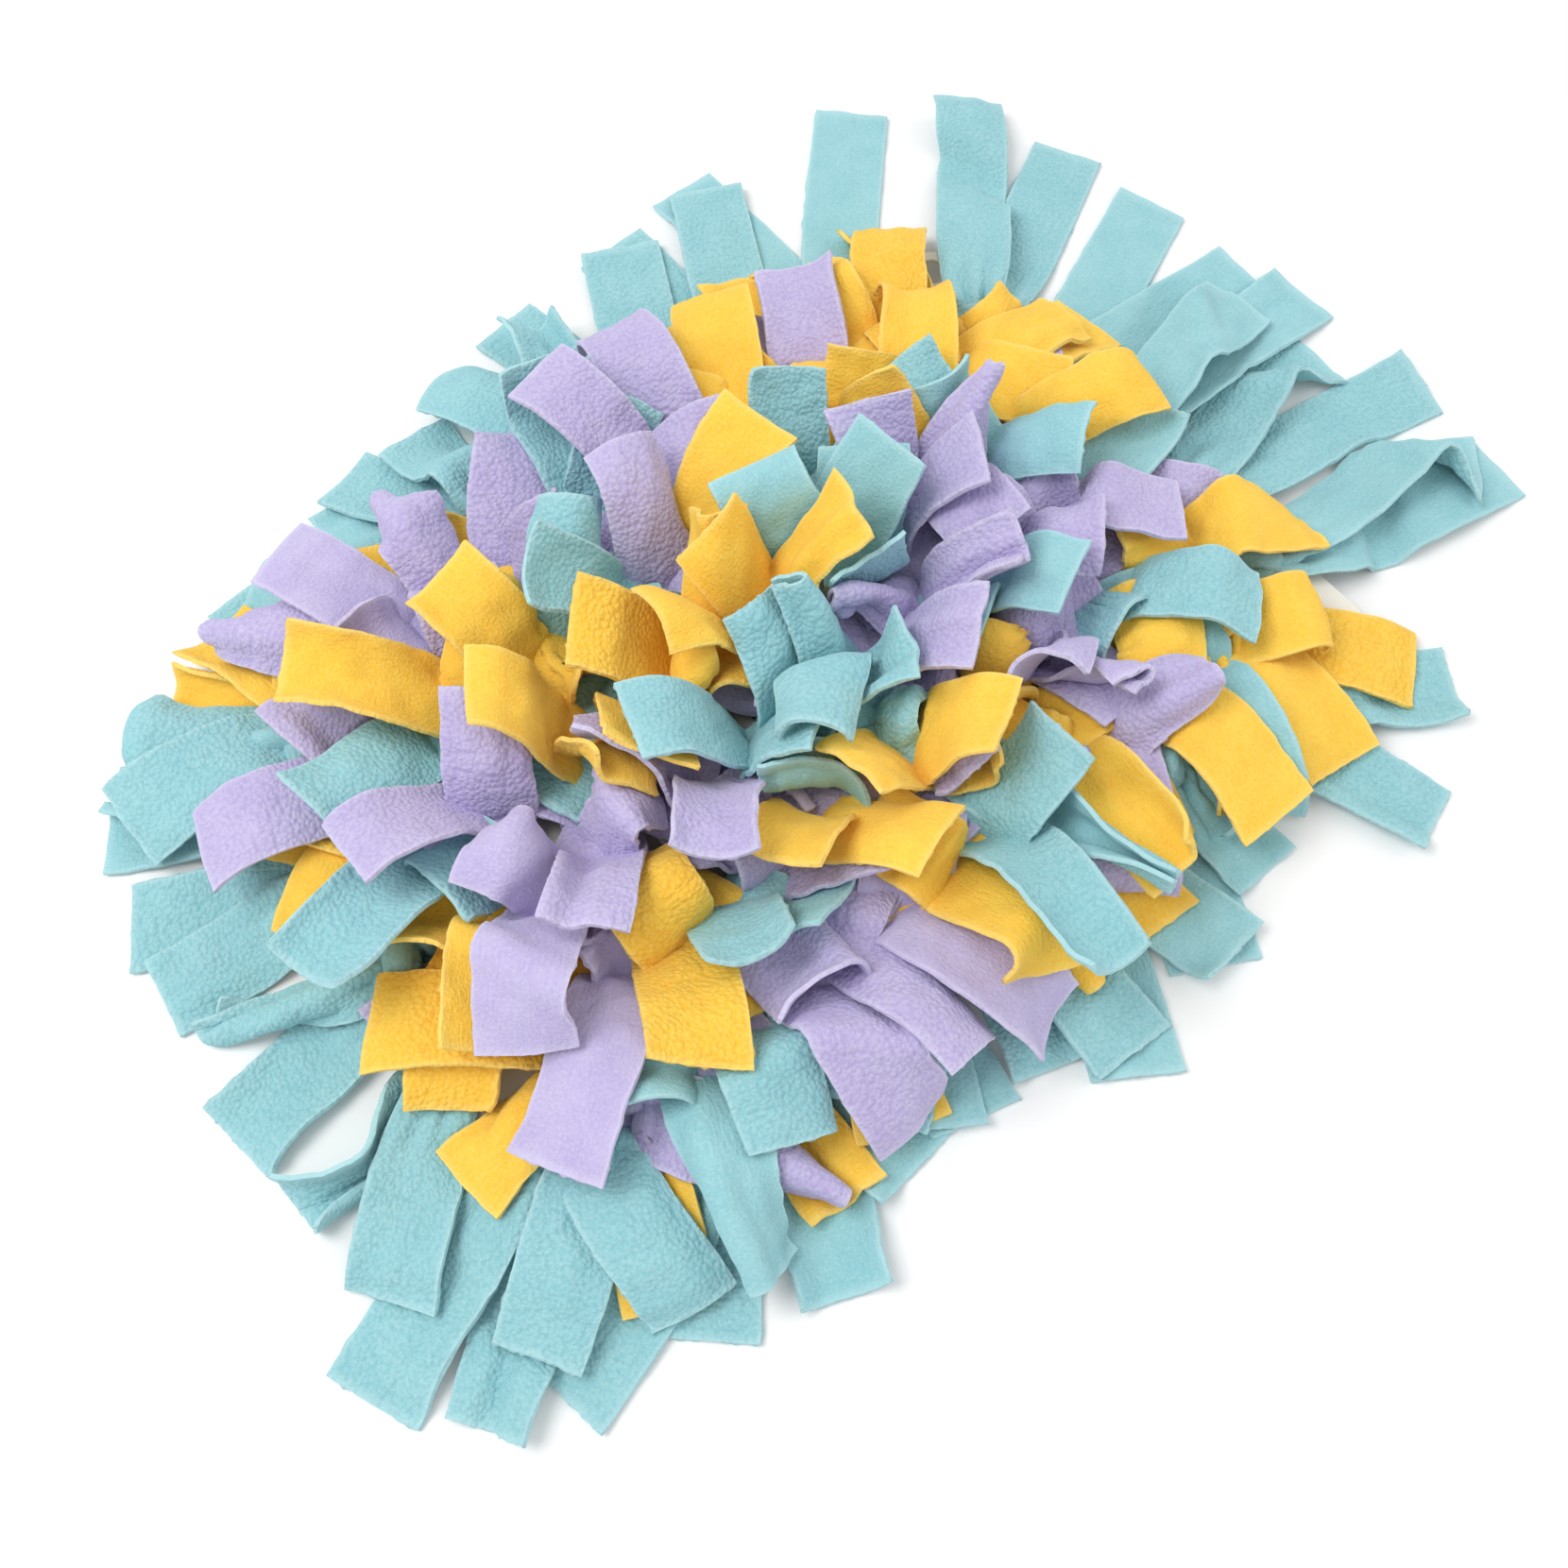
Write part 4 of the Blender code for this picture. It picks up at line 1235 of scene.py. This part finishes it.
class Nodes:
    """Short ways to add nodes to one material."""

    def __init__(self, material):
        material.use_nodes = True
        self.tree = material.node_tree
        self.shader = self.tree.nodes["Principled BSDF"]

    def add(self, kind, inputs=None, **settings):
        """Adds a node, with its settings and the links or values of its inputs."""
        node = self.tree.nodes.new(kind)
        for name, value in settings.items():
            setattr(node, name, value)
        for name, value in (inputs or {}).items():
            self.give(node, name, value)
        return node

    def give(self, node, name, value):
        """Links an output to an input, or sets the input's value."""
        if isinstance(value, bpy.types.NodeSocket):
            self.tree.links.new(value, node.inputs[name])
        else:
            node.inputs[name].default_value = value

    def maths(self, operation, first, second):
        """One Math node."""
        return self.add("ShaderNodeMath", {0: first, 1: second}, operation=operation).outputs[0]

    def times(self, first, second):
        """The product of two numbers."""
        return self.maths("MULTIPLY", first, second)

    def noise(self, place, scale, detail, output="Fac"):
        """A noise texture."""
        inputs = {"Vector": place, "Scale": scale, "Detail": detail}
        return self.add("ShaderNodeTexNoise", inputs).outputs[output]

    def mix(self, factor, first, second, kind="RGBA"):
        """A blend of two colours, or of two numbers where the kind is FLOAT."""
        node = self.add("ShaderNodeMix", data_type=kind)
        for name, value in (("Factor", factor), ("A", first), ("B", second)):
            self.give(node, name, value)
        return node.outputs["Result"]

    def ramp(self, value, low, high):
        """0 where the value is low, 1 where it is high, with soft ends."""
        inputs = {"Value": value, "From Min": low, "From Max": high}
        node = self.add("ShaderNodeMapRange", inputs, interpolation_type="SMOOTHSTEP")
        return node.outputs["Result"]


def fleece(name, colour, pit_shade_and_cloud_colour, light):
    """Fleece: one face of soft nubs, the other brushed, with painted shade in its pits
    and a pale painted sheen on its fuzz and at its cut edges.
    """
    material = bpy.data.materials.new(name)
    nodes = Nodes(material)
    place = nodes.add("ShaderNodeUVMap", uv_map="cloth").outputs["UV"]
    nap = nodes.add("ShaderNodeAttribute", attribute_name="nap").outputs["Fac"]
    edge = nodes.add("ShaderNodeAttribute", attribute_name="edge").outputs["Fac"]
    per_mm = 1 / (UV_SCALE * MM)
    wobble = nodes.noise(place, per_mm / WOBBLE_SIZE, 1.0, "Color")
    warped = {0: wobble, 1: WOBBLE, 2: place}
    bent = nodes.add("ShaderNodeVectorMath", warped, operation="MULTIPLY_ADD").outputs[0]
    nubs = nodes.add(
        "ShaderNodeTexVoronoi",
        {"Vector": bent, "Scale": per_mm / NUB_SIZE, "Smoothness": NUB_SMOOTHNESS},
        feature="SMOOTH_F1",
        voronoi_dimensions="2D",
    ).outputs["Distance"]
    stretched = nodes.add("ShaderNodeMapping", {"Vector": bent, "Scale": RIB_STRETCH}).outputs[0]
    ribs = nodes.noise(stretched, per_mm / RIB_SIZE, 2.0)
    lumps = nodes.noise(place, per_mm / LUMP_SIZE, 0.0)
    fuzz = nodes.noise(place, per_mm / FUZZ_SIZE, 2.0)
    clouds = nodes.noise(place, per_mm / CLOUD_SIZE, 2.0)

    nubbed = nodes.times(nodes.maths("SUBTRACT", 1.0, nubs), NUB_HEIGHT)
    nubbed = nodes.maths("ADD", nubbed, nodes.times(lumps, LUMP_HEIGHT))
    relief = nodes.mix(nap, nodes.times(ribs, RIB_HEIGHT), nubbed, "FLOAT")
    height = nodes.maths("ADD", relief, nodes.times(fuzz, FUZZ_HEIGHT))
    bump = {"Height": height, "Strength": NAP_STRENGTH, "Distance": NAP_DEPTH}

    # Painted shade: the colour is darker in the pits between the ribs and between the nubs
    rib_pit_shade = nodes.times(nodes.ramp(ribs, *RIB_PIT_SHADE), RIB_PIT_SHADE_SHARE)
    nub_pit_shade = nodes.times(nodes.ramp(nubs, *NUB_PIT_SHADE), NUB_PIT_SHADE_SHARE)
    # The colour: random clouds, then painted shade in the pits, then painted sheen on the fuzz and at
    # the cut edges
    tone = colour
    for share, most, other in (
        (nodes.ramp(clouds, *CLOUDS), CLOUD_SHARE, pit_shade_and_cloud_colour),
        (nodes.mix(nap, rib_pit_shade, nub_pit_shade, "FLOAT"), PIT_SHADE_SHARE, pit_shade_and_cloud_colour),
        (nodes.ramp(fuzz, *FUZZ_SHEEN), FUZZ_SHEEN_SHARE, light),
        (edge, EDGE_SHEEN_SHARE, light),
    ):
        tone = nodes.mix(nodes.times(share, most), tone, other)
    for title, value in (
        ("Base Color", tone),
        ("Normal", nodes.add("ShaderNodeBump", bump).outputs["Normal"]),
        ("Roughness", 0.95),
        ("Specular IOR Level", 0.15),
        ("Sheen Weight", 0.5),
        ("Sheen Roughness", 0.6),
        ("Sheen Tint", light),
    ):
        nodes.give(nodes.shader, title, value)
    return material


def base_material():
    """Off-white moulded plastic, a little translucent, with a fine moulded grain."""
    material = bpy.data.materials.new("base_plastic_look")
    nodes = Nodes(material)
    place = nodes.add("ShaderNodeTexCoord").outputs["Object"]
    grain = nodes.noise(place, GRAIN_SCALE, 3.0)
    mottle = nodes.noise(place, MOTTLE_SCALE, 3.0)
    bump = {"Height": grain, "Strength": GRAIN_STRENGTH, "Distance": GRAIN_DEPTH}
    smoothest, roughest = GRAIN_ROUGHNESS
    spread = {"Value": grain, "To Min": smoothest, "To Max": roughest}
    rough = nodes.add("ShaderNodeMapRange", spread).outputs["Result"]
    for title, value in (
        ("Base Color", nodes.mix(mottle, *BASE_COLOURS)),
        ("Normal", nodes.add("ShaderNodeBump", bump).outputs["Normal"]),
        ("Roughness", rough),
        ("Subsurface Weight", 0.25),
        ("Subsurface Radius", (4 * MM, 3.5 * MM, 3 * MM)),
        ("Subsurface Scale", 1.0),
    ):
        nodes.give(nodes.shader, title, value)
    return material


def make_studio(centre):
    """A pale floor, a soft overhead light and a bright even surround."""
    mesh = bpy.data.meshes.new("floor")
    corners = [(x * FLOOR_HALF, y * FLOOR_HALF, 0) for x, y in ((-1, -1), (1, -1), (1, 1), (-1, 1))]
    mesh.from_pydata(corners, [], [(0, 1, 2, 3)])
    white = bpy.data.materials.new("studio_white")
    nodes = Nodes(white)
    nodes.give(nodes.shader, "Base Color", FLOOR_COLOUR)
    nodes.give(nodes.shader, "Roughness", FLOOR_ROUGHNESS)
    floor = new_object("floor", mesh, white)
    world = bpy.data.worlds.new("studio")
    world.use_nodes = True
    background = world.node_tree.nodes["Background"]
    background.inputs["Color"].default_value = WORLD_COLOUR
    background.inputs["Strength"].default_value = WORLD_STRENGTH
    bpy.context.scene.world = world
    for name, (place, size, power) in LAMPS.items():
        add_light(name, place, size, power, centre)
    bpy.context.scene.view_settings.view_transform = "Standard"


def add_light(name, place, size, power, centre):
    """A square soft light that looks at the mat."""
    data = bpy.data.lights.new(name, "AREA")
    data.size = size
    data.energy = power
    light = bpy.data.objects.new(name, data)
    light.location = place
    aim = Vector((*centre, LAMP_AIM)) - light.location
    light.rotation_euler = aim.to_track_quat("-Z", "Y").to_euler()
    bpy.context.scene.collection.objects.link(light)


def make_camera(centre):
    """The photograph's view: from above, turned about the mat."""
    data = bpy.data.cameras.new("camera")
    data.sensor_width = SENSOR
    data.lens = CAMERA_FOCAL * SENSOR
    turn = math.radians(CAMERA_TURN)
    rise = math.radians(CAMERA_RISE)
    right = Vector((math.cos(turn), -math.sin(turn), 0))
    onward = Vector((math.sin(turn), math.cos(turn), 0))
    up = Vector((0, 0, 1))
    target = Vector((centre[0] + CAMERA_AIM[0], centre[1] + CAMERA_AIM[1], 0))
    place = target - onward * CAMERA_AWAY * math.cos(rise) + up * CAMERA_AWAY * math.sin(rise)
    back = (place - target).normalized()
    camera = bpy.data.objects.new("camera", data)
    frame = Matrix((right, back.cross(right), back)).transposed().to_4x4()
    camera.matrix_world = Matrix.Translation(place) @ frame
    bpy.context.scene.collection.objects.link(camera)
    bpy.context.scene.camera = camera


def colour_of(draw, spot):
    """Aqua round the outside, yellow inside it and mostly lavender in the middle."""
    ring = ring_of(*spot)
    if ring == 0:
        return AQUA
    if ring == 1:
        return YELLOW if draw.random() < YELLOW_SHARE else LAVENDER
    return draw.choices(list(MIDDLE_MIX), list(MIDDLE_MIX.values()))[0]


def fill_colour(draw, pair, placed):
    """Mostly lavender, with more yellow at one end of the mat and aqua at the corners.

    placed is each strip's tails with their colour so far: a colour is rarer where its tips are.
    """
    knot = pair[0].knot
    if abs(knot[0]) > FILL_HALF[0]:
        return AQUA
    mix = FILL_MIX if from_middle(knot) < FILL_INNER else FILL_OUTER_MIX
    if knot[0] > FILL_END:
        mix = FILL_END_MIX
    near = [slot for tails, slot in placed for tail in tails if tips_meet(tail, pair)]
    weights = [share * ALIKE ** near.count(slot) for slot, share in mix.items()]
    return draw.choices(list(mix), weights)[0]


def tips_meet(tail, pair):
    """Whether a tail ends near the end of one of these two tails."""
    return any(math.dist(tail.middle[-1], other.middle[-1]) < NEIGHBOUR for other in pair)


def relaxed(strips, ranks, start=None):
    """The cloth of these strips after its relaxation."""
    cloth = Cloth([tail for pair in strips for tail in pair], ranks, random.Random(SEED), start)
    cloth.relax(STEPS)
    return cloth


def spot_name(spot):
    """The column and row of a knot, counted from one."""
    return f"{spot[0] + STRIP_COLUMNS // 2 + 1}_{spot[1] + HOLE_ROWS // 2 + 1}"


def make_strips(centre):
    """Every tied strip, relaxed together and drawn as one object each."""
    laid = lay_strips()
    spots = sorted(laid)
    strips = [laid[spot] for spot in spots]
    order = {spot: n for n, spot in enumerate(laid)}
    ranks = [2 * order[spot] + k for spot in spots for k in (0, 1)]
    colours = random.Random(SEED + 1)
    slots = [colour_of(colours, spot) for spot in spots]
    draw = random.Random(SEED + 2)
    first = relaxed(strips, ranks)
    fill = lay_fill(draw, first)
    for k, pair in enumerate(fill):
        placed = zip(fill[:k], slots[len(spots) :])
        slots.append(fill_colour(draw, pair, placed))
    strips += fill
    ranks += range(len(ranks), 2 * len(strips))
    cloth = relaxed(strips, ranks, first.points)
    looks = {slot: fleece(f"{slot}_look", *FLEECE[slot]) for slot in FLEECE}
    for n, (pair, slot) in enumerate(zip(strips, slots)):
        ends = cloth.points[2 * n : 2 * n + 2].astype(float)
        spot = spots[n] if n < len(spots) else None
        title = f"cloth_{spot_name(spot)}" if spot else f"fill_{n - len(spots) + 1}"
        shell = strip_shell(pair, ends, spot is None, draw, draw.random() < SMOOTH_UP[slot])
        mesh = shell.mesh(title)
        mesh.transform(Matrix.Translation((*centre, 0)))
        declare(new_object(title, mesh, looks[slot]), spot)


def declare(obj, spot):
    """Attaches a strip to the root, in place of its solid if it has one, which it hides."""
    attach(obj, "root")
    if spot:
        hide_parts(f"strip_{spot_name(spot)}")


def strip_shell(pair, ends, filling, draw, flipped):
    """The surface of a strip: its two tails, and its run through the knot and the holes."""
    shell = Shell()
    for tail, points in zip(pair, ends):
        add_tail(shell, points, tail.along[-1], draw, flipped)
    roots = [points[PINNED_ROWS].mean(axis=0) for points in ends]
    leg = ROW_PITCH / 2 if filling else HOLE_PITCH / 2
    add_run(shell, *strip_run(pair[0].knot, *roots, leg, filling), draw)
    return shell


def main():
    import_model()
    low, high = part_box("base")
    centre = ((low[0] + high[0]) / 2, (low[1] + high[1]) / 2)
    make_camera(centre)
    make_studio(centre)
    make_base(centre)
    make_strips(centre)


main()
